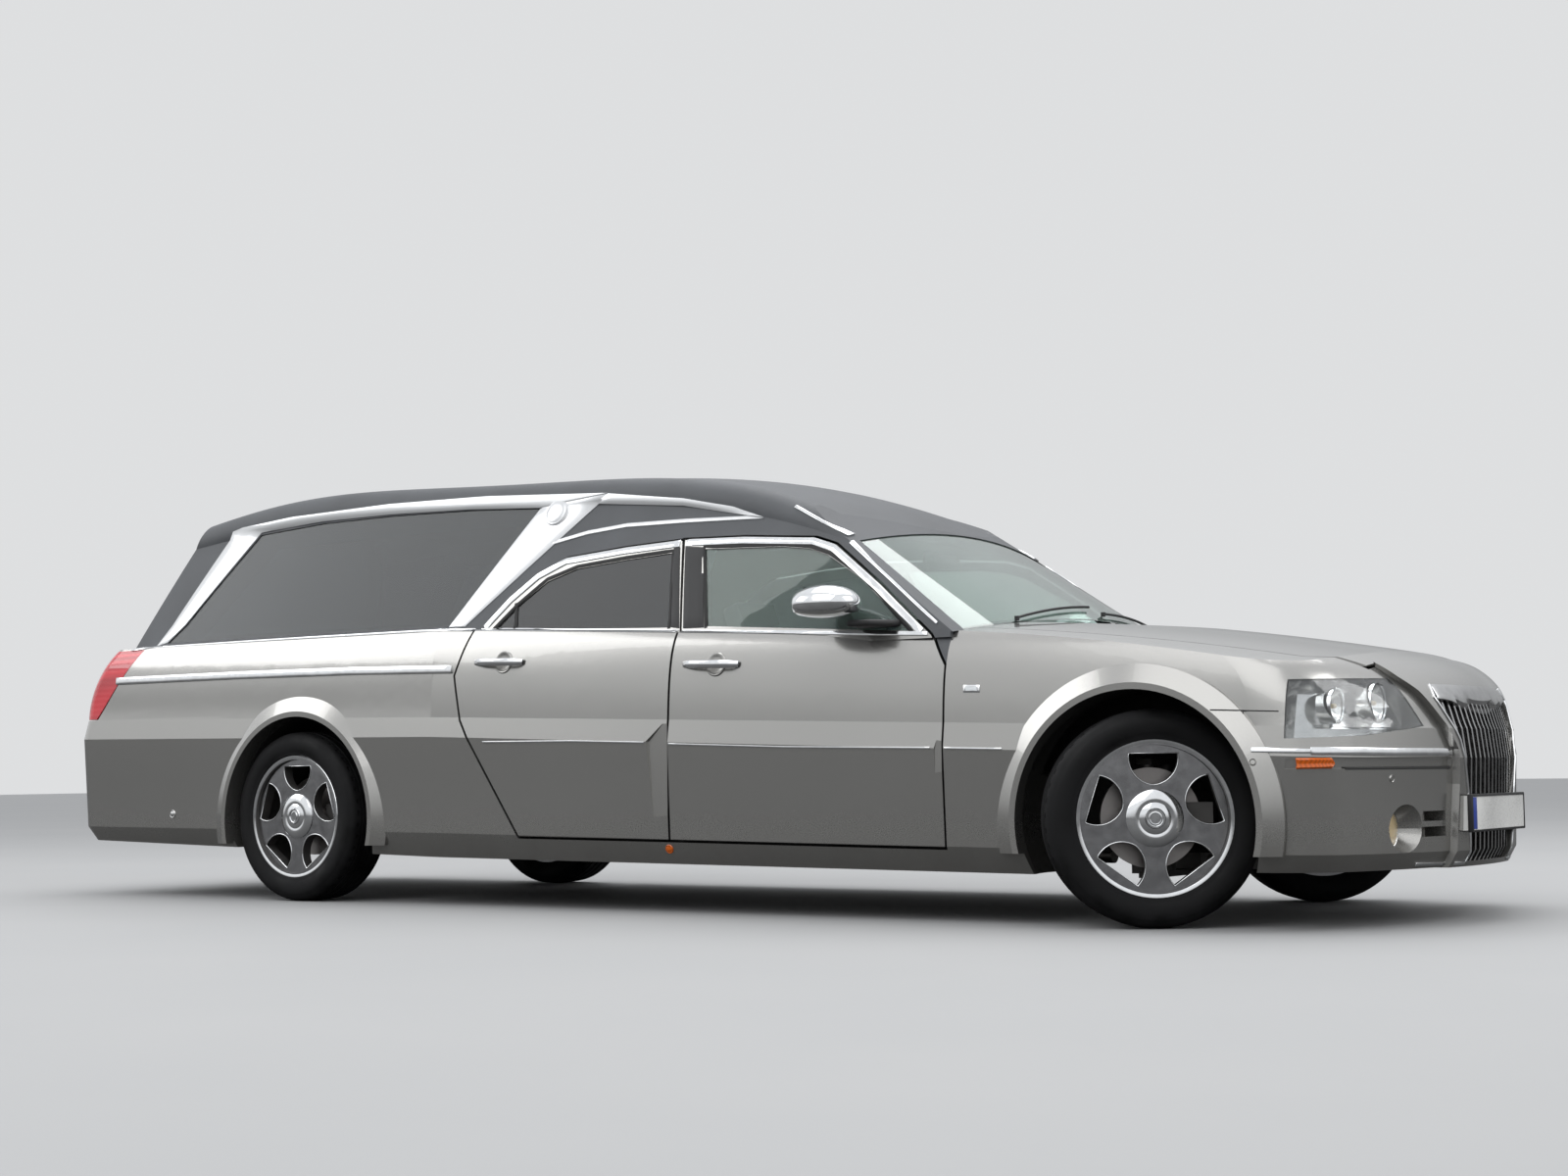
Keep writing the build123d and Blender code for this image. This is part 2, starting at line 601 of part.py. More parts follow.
# Front end: bonnet, cowl, wings, bumper, nose panel, grille and lamps
nose_prism = front_prism(both_sides(NOSE_PANEL), FRONT_AXLE_X + 400, NOSE_X + 100)
grille_prism = front_prism(both_sides(GRILLE), FRONT_AXLE_X + 700, NOSE_X + 100)
right_lamp_prism = front_prism(HEADLAMP, HEADLAMP_BACK_X, NOSE_X + 100)
lamp_prism = pair(right_lamp_prism)
bumper_prism = side_prism((
    (FRONT_AXLE_X + ARCH_LEAD, BUMPER_BOTTOM_Z), (FRONT_AXLE_X + ARCH_LEAD, BUMPER_LINE[0]),
    (NOSE_X + 100, BUMPER_LINE[1]), (NOSE_X + 100, BUMPER_BOTTOM_Z),
))
bumper_zone = side_prism((
    (FRONT_AXLE_X + ARCH_LEAD, -50), (FRONT_AXLE_X + ARCH_LEAD, BUMPER_LINE[0]),
    (NOSE_X + 100, BUMPER_LINE[1]), (NOSE_X + 100, -50),
))
bay_space = joined(block(SCUTTLE_X - 20, NOSE_PANEL_BACK_X, -BAY_HALF, BAY_HALF, -20, 1300),
                   block(SCUTTLE_X - 20, NOSE_X - NOSE_SHELL, -BAY_HALF, BAY_HALF, -20, NOSE_BAY_Z))
bonnet_hole = bonnet_prism(PANEL_GAP, NOSE_GAP)

bonnet = less(meet(front_block, bonnet_prism(0.0, 0.0)), under_bonnet, lamp_prism)
write(bonnet, "bonnet")

cowl_space = block(SCUTTLE_X, BONNET_REAR_X, -BAY_HALF, BAY_HALF, BULKHEAD_Z, 1300)
write(less(meet(front_block, cowl_space), bonnet_hole), "cowl")

nose_block = front_block.moved(Location((NOSE_STEP, 0, 0)))
nose_panel = less(meet(nose_block, nose_prism), bonnet_hole, bay_space, grille_prism,
                  block(FRONT_AXLE_X, NOSE_PANEL_BACK_X, -SWEEP, SWEEP, -50, 1300))
write(nose_panel, "nose_panel")

with BuildPart() as right_bezel:
    with BuildSketch(Plane.XY.offset(FOG_LAMP_Z)):
        with BuildLine():
            Polyline((FRONT_AXLE_X + 500, -FOG_LAMP_Y), (FRONT_AXLE_X + 500, FOG_LAMP_RADIUS - FOG_LAMP_Y),
                     *((FRONT_AXLE_X + x, radius - FOG_LAMP_Y) for x, radius in FOG_BEZEL),
                     (FRONT_AXLE_X + FOG_BEZEL[-1][0], -FOG_LAMP_Y), close=True)
        make_face()
    revolve(axis=Axis((0, -FOG_LAMP_Y, FOG_LAMP_Z), (1, 0, 0)))
fog_bores = pair(right_bezel.part)
vent_room = less(front_prism(VENT, FRONT_AXLE_X + 600, NOSE_X + 100),
                 front_block.moved(Location((-VENT_DEPTH, 0, 0))),
                 block(FRONT_AXLE_X, NOSE_X + 100, -SWEEP, 0, *VENT_BAR))
groove_room = less(front_prism(SHELF_GROOVE, HEADLAMP_BACK_X, NOSE_X + 100),
                   front_block.moved(Location((-GROOVE_DEPTH, 0, 0))))
front_bumper = less(meet(front_block, bumper_prism), nose_prism, lamp_prism, front_wells, bay_space,
                    fog_bores, pair(vent_room), pair(groove_room))
wing_shell = less(front_block, bonnet_hole, bay_space, front_wells, lamp_prism, nose_prism, bumper_zone)
cheek_room = block(NOSE_X - NOSE_SHELL, NOSE_X + 100, -BAY_HALF, BAY_HALF, 0, 1300)
write(joined(front_bumper, meet(wing_shell, cheek_room)), "front_bumper")
write(less(wing_shell, cheek_room), "wings")

with BuildPart() as right_fog_lamp:
    with BuildSketch(Plane(origin=(NOSE_X - NOSE_SHELL, -FOG_LAMP_Y, FOG_LAMP_Z), x_dir=(0, 1, 0), z_dir=(1, 0, 0))):
        Circle(FOG_LAMP_RADIUS)
    extrude(amount=FOG_LAMP_X - NOSE_X + NOSE_SHELL)
write(pair(right_fog_lamp.part), "fog_lamps")


def lamp_core(shift):
    """What lies inside the right headlamp's room behind its skin, which is set back by a shift."""
    return less(meet(front_block.moved(Location(shift)), right_lamp_prism), nose_prism, bonnet_hole)


write(pair(less(lamp_core((0, 0, 0)), lamp_core(LENS))), "headlamps")
with BuildPart() as bowls:
    for bowl_y, bowl_z, radius, back_x in LAMP_BOWLS:
        with BuildSketch(Plane(origin=(back_x, bowl_y, bowl_z), x_dir=(0, 1, 0), z_dir=(1, 0, 0))):
            Circle(radius)
        extrude(amount=300)
write(pair(less(lamp_core(LAMP_UNIT), bowls.part)), "headlamp_units")

grille_room = block(GRILLE_BACK_X, NOSE_X, -SWEEP, SWEEP, -50, 1300)
grille_back = meet(nose_block.moved(Location((-GRILLE_BACK, 0, 0))), grille_prism, grille_room)
with BuildPart() as bar_field:
    with BuildSketch(Plane.XY.offset(150)):
        with Locations((NOSE_X - 60, 0)):
            with GridLocations(1, 2 * GRILLE[3][0] / -GRILLE_BARS, 1, GRILLE_BARS):
                Rectangle(120, GRILLE_BAR)
    extrude(amount=700)
grille_face = nose_block.moved(Location((-GRILLE_STEP, 0, 0)))
write(joined(grille_back, meet(grille_face, grille_prism, bar_field.part)), "grille")

# Rear end: tailgate, bumper, lamps, sides, roof and glass
TAIL_REACH = (TAIL_X - 100, REAR_AXLE_X - 585.0)


def hinge_leaf(outline, near_y, far_y):
    """One leaf of both tailgate hinges with its barrel."""
    points = tuple((TAIL_HINGE_X + x, TAIL_HINGE_Z + z) for x, z in outline)
    leaf = meet(side_prism(points), block(TAIL_X, 0, near_y, far_y, 0, 2000))
    return pair(joined(leaf, cross_rod(TAIL_HINGE_X, TAIL_HINGE_Z, near_y, far_y, TAIL_PIN_RADIUS)))


roof_leaves = hinge_leaf(ROOF_LEAF, TAIL_HINGE_Y[0], TAIL_HINGE_Y[1])
gate_leaves = hinge_leaf(GATE_LEAF, TAIL_HINGE_Y[1] + SEAT_GAP, TAIL_HINGE_Y[2])
gate_shell = less(meet(wall, front_prism(both_sides(TAILGATE), *TAIL_REACH)),
                  front_prism(both_sides(TAILGATE_PANE), *TAIL_REACH))
write(joined(gate_shell, gate_leaves), "tailgate")
write(meet(panes, front_prism(both_sides(TAILGATE_PANE), *TAIL_REACH)), "tailgate_glass")

(lamp_low_x, lamp_low_z), (lamp_top_x, lamp_top_z) = TAIL_LAMP_SIDE


def tail_lamp_prism(inner_y, low_z):
    """The room of both tail lamps, from their inner edges outwards."""
    rear_view = pair(block(*TAIL_REACH, -SWEEP, -inner_y, low_z, lamp_top_z))
    side_view = side_prism(((TAIL_X - 100, low_z), (lamp_low_x, low_z), (lamp_top_x, lamp_top_z),
                            (TAIL_X - 100, lamp_top_z)))
    return meet(rear_view, side_view)


tailgate_hole = front_prism(both_sides(TAILGATE_HOLE), *TAIL_REACH)
write(meet(lower_wall, tail_lamp_prism(TAIL_LAMP_Y, lamp_low_z)), "tail_lamps")
rear_bumper_room = joined(
    side_prism(((TAIL_X - 100, 0), (TAIL_X - 100, REAR_BUMPER_Z), (REAR_BUMPER_X, REAR_BUMPER_Z),
                (REAR_BUMPER_X, 0))),
    block(*TAIL_REACH, -TAIL_LAMP_Y + 4, TAIL_LAMP_Y - 4, REAR_BUMPER_Z - 10, TAIL_SILL_Z),
)
write(meet(lower_wall, rear_bumper_room), "rear_bumper")

load_hole = side_prism(LOAD_GLASS)
write(less(meet(panes, load_hole), block(TAIL_X, FRONT_AXLE_X, -500, 500, 900, 2000)), "load_bay_glass")

with BuildPart() as screen_hole:
    with BuildSketch(Plane(origin=(SCUTTLE_X - 600, 0, 0), x_dir=(0, 1, 0), z_dir=(1, 0, 0))):
        with BuildLine():
            (foot_y, foot_z), (head_y, head_z) = SCREEN_OPENING
            Line((foot_y, foot_z), (head_y, head_z))
            ThreePointArc((head_y, head_z), (0, head_z + SCREEN_CROWN), (-head_y, head_z))
            Line((-head_y, head_z), (-foot_y, foot_z))
            Line((-foot_y, foot_z), (foot_y, foot_z))
        make_face()
    extrude(amount=900)
write(less(meet(panes, screen_hole.part), crown_region), "windscreen")

fixed_wall = less(wall, side_prism(grown(FRONT_DOOR, SHUT_GAP)), side_prism(grown(REAR_DOOR, SHUT_GAP)),
                  tailgate_hole, tail_lamp_prism(TAIL_LAMP_Y - 14, REAR_BUMPER_Z - 10), rear_bumper_room)
wedge_x = SCUTTLE_X - 90.0
above_belt = side_prism(((TAIL_X - 100, BELT_Z + 4), (KNEE_X, BELT_Z - 2), (wedge_x, belt_z(wedge_x) - 2),
                         (wedge_x, 870), (SCUTTLE_X + 500, 870), (SCUTTLE_X + 500, 2000),
                         (TAIL_X - 100, 2000)))
write(joined(less(meet(fixed_wall, above_belt), load_hole, screen_hole.part), roof_leaves), "roof")
write(less(fixed_wall, above_belt), "sides")

# Under the body: floor, inner panels, engine, exhaust, suspension and rear axle
floor_pan = block(REAR_AXLE_X - 600, BULKHEAD_X, -SWEEP, SWEEP, PAN_Z, PAN_TOP_Z)
tail_floor = block(TAIL_X, REAR_AXLE_X - 560, -SWEEP, SWEEP, PAN_TOP_Z - 30, PAN_TOP_Z)
axle_opening = block(REAR_AXLE_X - 190, REAR_AXLE_X + 190, -520, 520, PAN_Z - 10, PAN_TOP_Z + 10)
well_boxes = meet(wheel_wells(REAR_AXLE_X, REAR_ARCH_RADIUS + WELL_WALL, ARCH_DEPTH + WELL_WALL),
                  block(REAR_AXLE_X - 600, REAR_AXLE_X + 600, -SWEEP, SWEEP, PAN_Z, 1000))
cabin_floor = less(meet(inner_form, joined(floor_pan, tail_floor, well_boxes)), rear_wells, axle_opening,
                   cross_rod(REAR_AXLE_X, HUB_Z, -WHEEL_Y, WHEEL_Y, 45))
front_frame = joined(
    block(BULKHEAD_X - BULKHEAD_WALL, BULKHEAD_X, -BAY_HALF, BAY_HALF, PAN_TOP_Z, BULKHEAD_Z),
    pair(block(BULKHEAD_X, FRAME_END_X, -FRAME_Y, -FRAME_Y + 12, PAN_Z, 780)),
    block(FRAME_END_X - 20, FRAME_END_X, -FRAME_Y, FRAME_Y, 300, 520),
)
cabin_end = block(BULKHEAD_X - 200, BULKHEAD_X, -BAY_HALF, BAY_HALF, PAN_Z, PAN_TOP_Z)
floor_trim = block(SCUTTLE_X, NOSE_X, -SWEEP, SWEEP, 0, 1000)
with BuildPart() as jack_pads:
    with BuildSketch(Plane.XY.offset(PAN_Z - JACK_PAD[2])):
        with Locations(*[(x, y) for x in JACK_PADS_X for y in (-JACK_PAD_Y, JACK_PAD_Y)]):
            Rectangle(JACK_PAD[0], JACK_PAD[1])
    extrude(amount=JACK_PAD[2])
write(joined(less(cabin_floor, floor_trim), cabin_end, front_frame, jack_pads.part), "underbody")

with BuildPart() as engine:
    with BuildSketch(Plane.XY.offset(ENGINE_Z)):
        with Locations((FRONT_AXLE_X - 45, 0)):
            RectangleRounded(840, 600, 60)
    extrude(amount=530)
write(engine.part, "engine_block")

with BuildPart() as exhaust:
    with BuildLine() as route:
        FilletPolyline((BULKHEAD_X + 50, 60, PIPE_Z), (REAR_AXLE_X + 815, 60, PIPE_Z),
                       (REAR_AXLE_X - 585, 420, PIPE_Z), (TAIL_X + 100, 420, PIPE_Z), radius=200)
    with BuildSketch(Plane(origin=route.line @ 0, z_dir=route.line % 0)):
        Circle(PIPE_RADIUS)
    sweep()
write(exhaust.part, "exhaust")


def upright(steered):
    """The right wheel's carrier with its brake caliper, its kingpin on the Z axis."""
    disc_outer_y = -KINGPIN_INSET + DISC_INSET - DISC_WIDTH / 2
    disc_inner_y = disc_outer_y + DISC_WIDTH
    pad_y = disc_inner_y + RUN_GAP
    outer_pad_y = disc_outer_y - RUN_GAP
    with BuildPart() as carrier:
        with BuildSketch(Plane(origin=(0, pad_y, HUB_Z), x_dir=(1, 0, 0), z_dir=(0, 1, 0))):
            Circle(50)
        extrude(amount=50)
        add(block(0, 200, pad_y, pad_y + 24, HUB_Z - 50, HUB_Z + 50))
        add(block(DISC_RADIUS + RUN_GAP, 200, outer_pad_y - 26, pad_y + 24, HUB_Z - 50, HUB_Z + 50))
        add(block(105, 200, outer_pad_y - 26, outer_pad_y, HUB_Z - 50, HUB_Z + 50))
        add(cross_rod(0, HUB_Z, disc_inner_y + SEAT_GAP, pad_y + 10, STUB_RADIUS))
        if steered:
            add(upright_rod(0, 0, POST_FOOT_Z, POST_TOP_Z, POST_RADIUS))
    return carrier.part


steered_upright = upright(True)
fixed_upright = upright(False)
write(steered_upright.moved(Location((FRONT_AXLE_X, -KINGPIN_Y, 0), (0, 0, STEER_ANGLE))),
      "knuckle_right")
write(mirror(steered_upright, about=Plane.XZ).moved(
    Location((FRONT_AXLE_X, KINGPIN_Y, 0), (0, 0, STEER_ANGLE))), "knuckle_left")

arm_z = POST_FOOT_Z - SEAT_GAP - ARM_DEPTH
subframe = block(FRONT_AXLE_X - 200, FRONT_AXLE_X + 60, -FRAME_Y, FRAME_Y, arm_z, PAN_Z)
arm_room = (FRONT_AXLE_X - ARM_HALF, FRONT_AXLE_X + ARM_HALF, -KINGPIN_Y - POST_RADIUS, -FRAME_Y)
lower_arm = block(*arm_room, arm_z, arm_z + ARM_DEPTH)
upper_arm = block(*arm_room, POST_TOP_Z + SEAT_GAP, POST_TOP_Z + SEAT_GAP + ARM_DEPTH)
damper = upright_rod(FRONT_AXLE_X, -DAMPER_Y, arm_z + 5, POST_TOP_Z + 5, ARM_HALF - 2)
engine_foot = block(FRONT_AXLE_X - 160, FRONT_AXLE_X - 80, -ENGINE_MOUNT_Y - 40, -ENGINE_MOUNT_Y + 40,
                    PAN_Z - 10, ENGINE_Z - SEAT_GAP)
write(joined(subframe, pair(lower_arm), pair(upper_arm), pair(damper), pair(engine_foot)),
      "front_suspension")

half_axle = joined(cross_rod(REAR_AXLE_X, HUB_Z, -KINGPIN_Y, 0, 32),
                   fixed_upright.moved(Location((REAR_AXLE_X, -KINGPIN_Y, 0))))
axle_frame = block(REAR_AXLE_X - 230, REAR_AXLE_X + 230, -540, 540, PAN_TOP_Z, PAN_TOP_Z + 110)
write(joined(pair(half_axle), axle_frame), "rear_axle")

# Wheels
with BuildPart() as tyre:
    with BuildSketch(Plane.XY):
        with Locations(((RIM_RADIUS + TYRE_RADIUS) / 2, 0)):
            RectangleRounded(TYRE_RADIUS - RIM_RADIUS, TYRE_WIDTH, TYRE_SHOULDER)
    revolve(axis=Axis.Y)

# A wheel with its brake disc, its outer face towards -Y
rim_edge = RIM_RADIUS - SEAT_GAP
face_plane = Plane(origin=(0, -SPOKE_FACE, 0), x_dir=(1, 0, 0), z_dir=(0, 1, 0))
with BuildSketch() as window:
    with BuildLine():
        Line((WINDOW_END[0], -WINDOW_END[1]), WINDOW_END)
        ThreePointArc(WINDOW_END, WINDOW_FLANK, (WINDOW_ROOT, 0))
        ThreePointArc((WINDOW_ROOT, 0), (WINDOW_FLANK[0], -WINDOW_FLANK[1]), (WINDOW_END[0], -WINDOW_END[1]))
    make_face()
with BuildPart() as rim:
    with BuildSketch(Plane.XY):
        with Locations((rim_edge - RIM_WALL / 2, 0)):
            Rectangle(RIM_WALL, RIM_WIDTH)
    revolve(axis=Axis.Y)
    with BuildSketch(face_plane):
        Circle(rim_edge - RIM_WALL / 2)
        with PolarLocations(0, SPOKES, start_angle=-90):
            add(window.sketch, mode=Mode.SUBTRACT)
    extrude(amount=SPOKE_DEPTH)
    with BuildSketch(face_plane):
        Circle(HUB_RADIUS)
    extrude(amount=SPOKE_FACE + DISC_INSET + DISC_WIDTH / 2)
    with BuildSketch(Plane(origin=(0, DISC_INSET - DISC_WIDTH / 2, 0), x_dir=(1, 0, 0), z_dir=(0, 1, 0))):
        Circle(DISC_RADIUS)
    extrude(amount=DISC_WIDTH)

sin_steer = math.sin(STEER)
cos_steer = math.cos(STEER)
rim_left = mirror(rim.part, about=Plane.XZ)
WHEELS = (
    ("front_right", FRONT_AXLE_X + KINGPIN_INSET * sin_steer, -KINGPIN_Y - KINGPIN_INSET * cos_steer,
     STEER_ANGLE, rim.part),
    ("front_left", FRONT_AXLE_X - KINGPIN_INSET * sin_steer, KINGPIN_Y + KINGPIN_INSET * cos_steer,
     STEER_ANGLE, rim_left),
    ("rear_right", REAR_AXLE_X, -WHEEL_Y, 0.0, rim.part),
    ("rear_left", REAR_AXLE_X, WHEEL_Y, 0.0, rim_left),
)
for place, wheel_x, wheel_y, angle, form in WHEELS:
    spot = Location((wheel_x, wheel_y, HUB_Z), (0, 0, angle))
    write(tyre.part.moved(spot), "tyre_" + place)
    write(form.moved(spot), "rim_" + place)

# Inside: dashboard with console, steering wheel, seats, load deck with its partition
steering_spot = Location((STEERING_X, STEERING_Y, STEERING_Z), (0, STEERING_TILT, 0))


def column(radius):
    """The steering column, grown to a radius."""
    with BuildPart() as shaft:
        with BuildSketch(Plane.XY):
            Circle(radius)
        extrude(amount=-COLUMN_LENGTH)
    return shaft.part


with BuildPart() as steering:
    with BuildSketch(Plane.XZ):
        with Locations((STEERING_RADIUS, 0)):
            Circle(15)
    revolve(axis=Axis.Z)
    with BuildSketch(Plane.XY.offset(-15)):
        Circle(60)
    extrude(amount=30)
    with BuildSketch(Plane.XY.offset(-10)):
        Rectangle(2 * STEERING_RADIUS - 10, 40)
    extrude(amount=20)
    add(column(COLUMN_RADIUS))
write(steering.part.moved(steering_spot), "steering_wheel")

dash = joined(block(DASH_X, BULKHEAD_X - BULKHEAD_WALL, -BAY_HALF, BAY_HALF, 620, BULKHEAD_Z),
              block(DASH_X, SCUTTLE_X - SEAT_GAP, -DASH_HALF, DASH_HALF, 620, BULKHEAD_Z))
console = block(FRONT_SEAT_X - 40, BULKHEAD_X - BULKHEAD_WALL, -110, 110, PAN_TOP_Z, 560)
console_neck = block(DASH_X + 40, BULKHEAD_X - BULKHEAD_WALL, -110, 110, PAN_TOP_Z, 640)
write(less(joined(dash, console, console_neck), column(COLUMN_RADIUS + SEAT_GAP).moved(steering_spot)),
      "dashboard")


def seat(x, y, width):
    """A seat with its cushion and backrest."""
    with BuildPart() as chair:
        with BuildSketch(Plane(origin=(0, y + width / 2, 0), x_dir=(1, 0, 0), z_dir=(0, -1, 0))):
            with BuildLine():
                Polyline((x, PAN_TOP_Z), (x + 480, PAN_TOP_Z), (x + 520, 470), (x + 90, 450),
                         (x - 120, 1020), (x - 220, 1000), (x - 60, 420), close=True)
            make_face()
        extrude(amount=width)
    return chair.part


write(pair(seat(FRONT_SEAT_X, -SEAT_Y, SEAT_WIDTH)), "front_seats")
write(seat(BENCH_X, 0, BENCH_WIDTH), "rear_seat")

deck = block(TAIL_X, PARTITION_X, -SWEEP, SWEEP, DECK_Z, DECK_TOP_Z)
partition = block(PARTITION_X - PARTITION_WALL, PARTITION_X, -SWEEP, SWEEP, PAN_TOP_Z, PARTITION_Z)
bier_plate = block(BIER_X[1], BIER_X[0], -BIER_HALF, BIER_HALF, DECK_TOP_Z, DECK_TOP_Z + BIER_RISE)
write(joined(less(meet(inner_form, joined(deck, partition)), upper_wall), bier_plate), "load_deck")

# Outside fittings: wipers and number plates
screen_along, screen_out = slope_frame(SCREEN_FOOT, SCREEN_HEAD, False)


def over_screen(y, rise, lift):
    """A point above the windscreen: across the car, up the slope, off the glass."""
    sag = SCREEN_RADIUS - math.sqrt(SCREEN_RADIUS ** 2 - y ** 2)
    foot = Vector(SCREEN_FOOT[0], y, SCREEN_FOOT[1])
    return foot + screen_along * rise + screen_out * (lift - sag)


WIPERS = ((-540.0, 30.0), (70.0, 640.0))
WIPER_FOOT = 10.6
WIPER_RISE = 100.0                    # the wipers' pivots up the slope from the screen's foot
arms = []
for pivot_y, tip_y in WIPERS:
    stations = [over_screen(pivot_y + (tip_y - pivot_y) * k / 4, WIPER_RISE + 12 * k, 9) for k in range(5)]
    with BuildPart() as wiper:
        with BuildLine() as blade:
            Spline(*stations)
        with BuildSketch(Plane(origin=blade.line @ 0, z_dir=blade.line % 0)):
            Circle(5)
        sweep()
        add(upright_rod(stations[0].X, stations[0].Y, stations[0].Z - WIPER_FOOT, stations[0].Z + 6, 9))
    arms.append(less(wiper.part, front_block, panes))
write(joined(*arms), "wipers")

plate_half = PLATE_WIDTH / 2
plate_rise = PLATE_HEIGHT / 2
front_plate = less(block(NOSE_X - PLATE_DEPTH, NOSE_X, -plate_half, plate_half,
                         FRONT_PLATE_Z - plate_rise, FRONT_PLATE_Z + plate_rise), nose_block)
rear_plate = less(block(TAIL_X, TAIL_X + PLATE_DEPTH, -plate_half, plate_half,
                        REAR_PLATE_Z - plate_rise, REAR_PLATE_Z + plate_rise), body_form)
write(joined(front_plate, rear_plate), "number_plates")
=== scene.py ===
import math

import bpy
from mathutils import Matrix, Vector
from mathutils.bvhtree import BVHTree


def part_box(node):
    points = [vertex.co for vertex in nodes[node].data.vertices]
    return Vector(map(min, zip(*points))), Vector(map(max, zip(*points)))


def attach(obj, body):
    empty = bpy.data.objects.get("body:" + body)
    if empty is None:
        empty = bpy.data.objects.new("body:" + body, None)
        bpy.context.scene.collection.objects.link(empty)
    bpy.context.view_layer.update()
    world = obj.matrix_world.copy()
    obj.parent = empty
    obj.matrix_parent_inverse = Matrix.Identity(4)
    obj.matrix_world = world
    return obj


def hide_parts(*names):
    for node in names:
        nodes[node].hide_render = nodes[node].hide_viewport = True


bl_info = {
    "name": "Hearse Dressing",
    "version": (1, 0, 0),
    "blender": (4, 5, 0),
    "location": "View3D > Sidebar > Hearse",
    "description": "Finishes, tyres, bright trim, lamps and cabin for a long hearse",
    "category": "Object",
}

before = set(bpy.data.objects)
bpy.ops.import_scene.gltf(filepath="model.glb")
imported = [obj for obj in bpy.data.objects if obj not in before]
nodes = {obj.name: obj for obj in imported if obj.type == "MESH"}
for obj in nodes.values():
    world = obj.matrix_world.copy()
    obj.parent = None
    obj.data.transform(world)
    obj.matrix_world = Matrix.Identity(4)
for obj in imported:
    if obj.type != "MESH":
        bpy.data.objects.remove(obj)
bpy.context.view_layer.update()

FRONT_AXLE = 2.23
REAR_AXLE = -1.67
KINGPIN_Y = 0.7315
WHEEL_INSET = 0.07
WHEEL_Z = 0.357
STEER = math.radians(34.3)


# Finishes

class NodeTree:
    """The nodes of a material or a world under construction, with short ways to add them."""

    def __init__(self, owner, shader):
        owner.use_nodes = True
        self.tree = owner.node_tree
        self.shader = self.tree.nodes[shader]

    def node(self, kind, inputs=None, **settings):
        made = self.tree.nodes.new(kind)
        for key, value in settings.items():
            setattr(made, key, value)
        for key, value in (inputs or {}).items():
            if isinstance(value, bpy.types.NodeSocket):
                self.tree.links.new(value, made.inputs[key])
            else:
                made.inputs[key].default_value = value
        return made

    def drive(self, socket, output):
        self.tree.links.new(output, self.shader.inputs[socket])

    def spread(self, value, low, high, to_low=0.0, to_high=1.0):
        made = self.node("ShaderNodeMapRange", {"Value": value, "From Min": low, "From Max": high,
                                                "To Min": to_low, "To Max": to_high})
        return made.outputs["Result"]

    def mix(self, factor, first, second):
        """One colour, and the second where factor is 1."""
        return self.node("ShaderNodeMix", {0: factor, 6: first, 7: second}, data_type="RGBA").outputs[2]

    def sum(self, first, second, weight=1.0):
        """The first value and a share of the second."""
        made = self.node("ShaderNodeMath", {0: second, 1: weight, 2: first}, operation="MULTIPLY_ADD")
        return made.outputs[0]


class Finish(NodeTree):
    """A material whose patterns read the object's own coordinates."""

    def __init__(self, name):
        self.material = bpy.data.materials.new(name)
        super().__init__(self.material, "Principled BSDF")
        self.coords = self.node("ShaderNodeTexCoord").outputs["Object"]

    def set(self, **values):
        """Gives the shader's own sockets constant values."""
        for key, value in values.items():
            self.shader.inputs[key.replace("_", " ")].default_value = value
        return self

    def tint(self, pattern, low, high, colour, dark, pale):
        """Lets the colour's brightness follow a pattern."""
        self.drive("Base Color", self.mix(self.spread(pattern, low, high), shade(colour, dark),
                                          shade(colour, pale)))

    def gloss(self, pattern, low, high, to_low, to_high):
        """Lets the roughness follow a pattern."""
        self.drive("Roughness", self.spread(pattern, low, high, to_low, to_high))

    def noise(self, scale, detail=4.0, roughness=0.5, where=None):
        made = self.node("ShaderNodeTexNoise", {"Vector": where or self.coords, "Scale": scale,
                                                "Detail": detail, "Roughness": roughness})
        return made.outputs["Fac"]

    def cells(self, scale):
        return self.node("ShaderNodeTexVoronoi", {"Vector": self.coords, "Scale": scale}).outputs["Distance"]

    def bump(self, height, strength, distance):
        made = self.node("ShaderNodeBump", {"Height": height, "Strength": strength, "Distance": distance})
        self.drive("Normal", made.outputs["Normal"])


def shade(colour, factor):
    """A colour scaled in brightness, as an RGBA tuple."""
    return tuple(min(1.0, c * factor) for c in colour[:3]) + (1.0,)


def body_paint(name, colour, metallic=0.85):
    """Metallic lacquer with fine flakes, a soft cloudiness and road film low down."""
    f = Finish(name).set(Metallic=metallic, Coat_Weight=1.0, Coat_Roughness=0.03, IOR=1.5)
    flakes = f.spread(f.cells(900.0), 0.0, 0.9)
    clouds = f.noise(1.6, 3.0)
    base = f.mix(flakes, shade(colour, 0.94), shade(colour, 1.06))
    base = f.mix(f.spread(clouds, 0.35, 0.65, 0.0, 0.35), base, shade(colour, 0.93))
    height = f.node("ShaderNodeSeparateXYZ", {"Vector": f.coords}).outputs["Z"]
    film = f.spread(f.sum(height, f.noise(7.0, 6.0, 0.65), -0.16), 0.02, 0.3, 0.55, 0.0)
    base = f.mix(film, base, (0.11, 0.1, 0.09, 1.0))
    f.drive("Base Color", base)
    f.drive("Roughness", f.sum(f.spread(f.noise(300.0, 2.0), 0.3, 0.7, 0.19, 0.27), film, 0.35))
    f.bump(f.noise(2200.0, 2.0), 0.015, 0.0001)
    return f.material


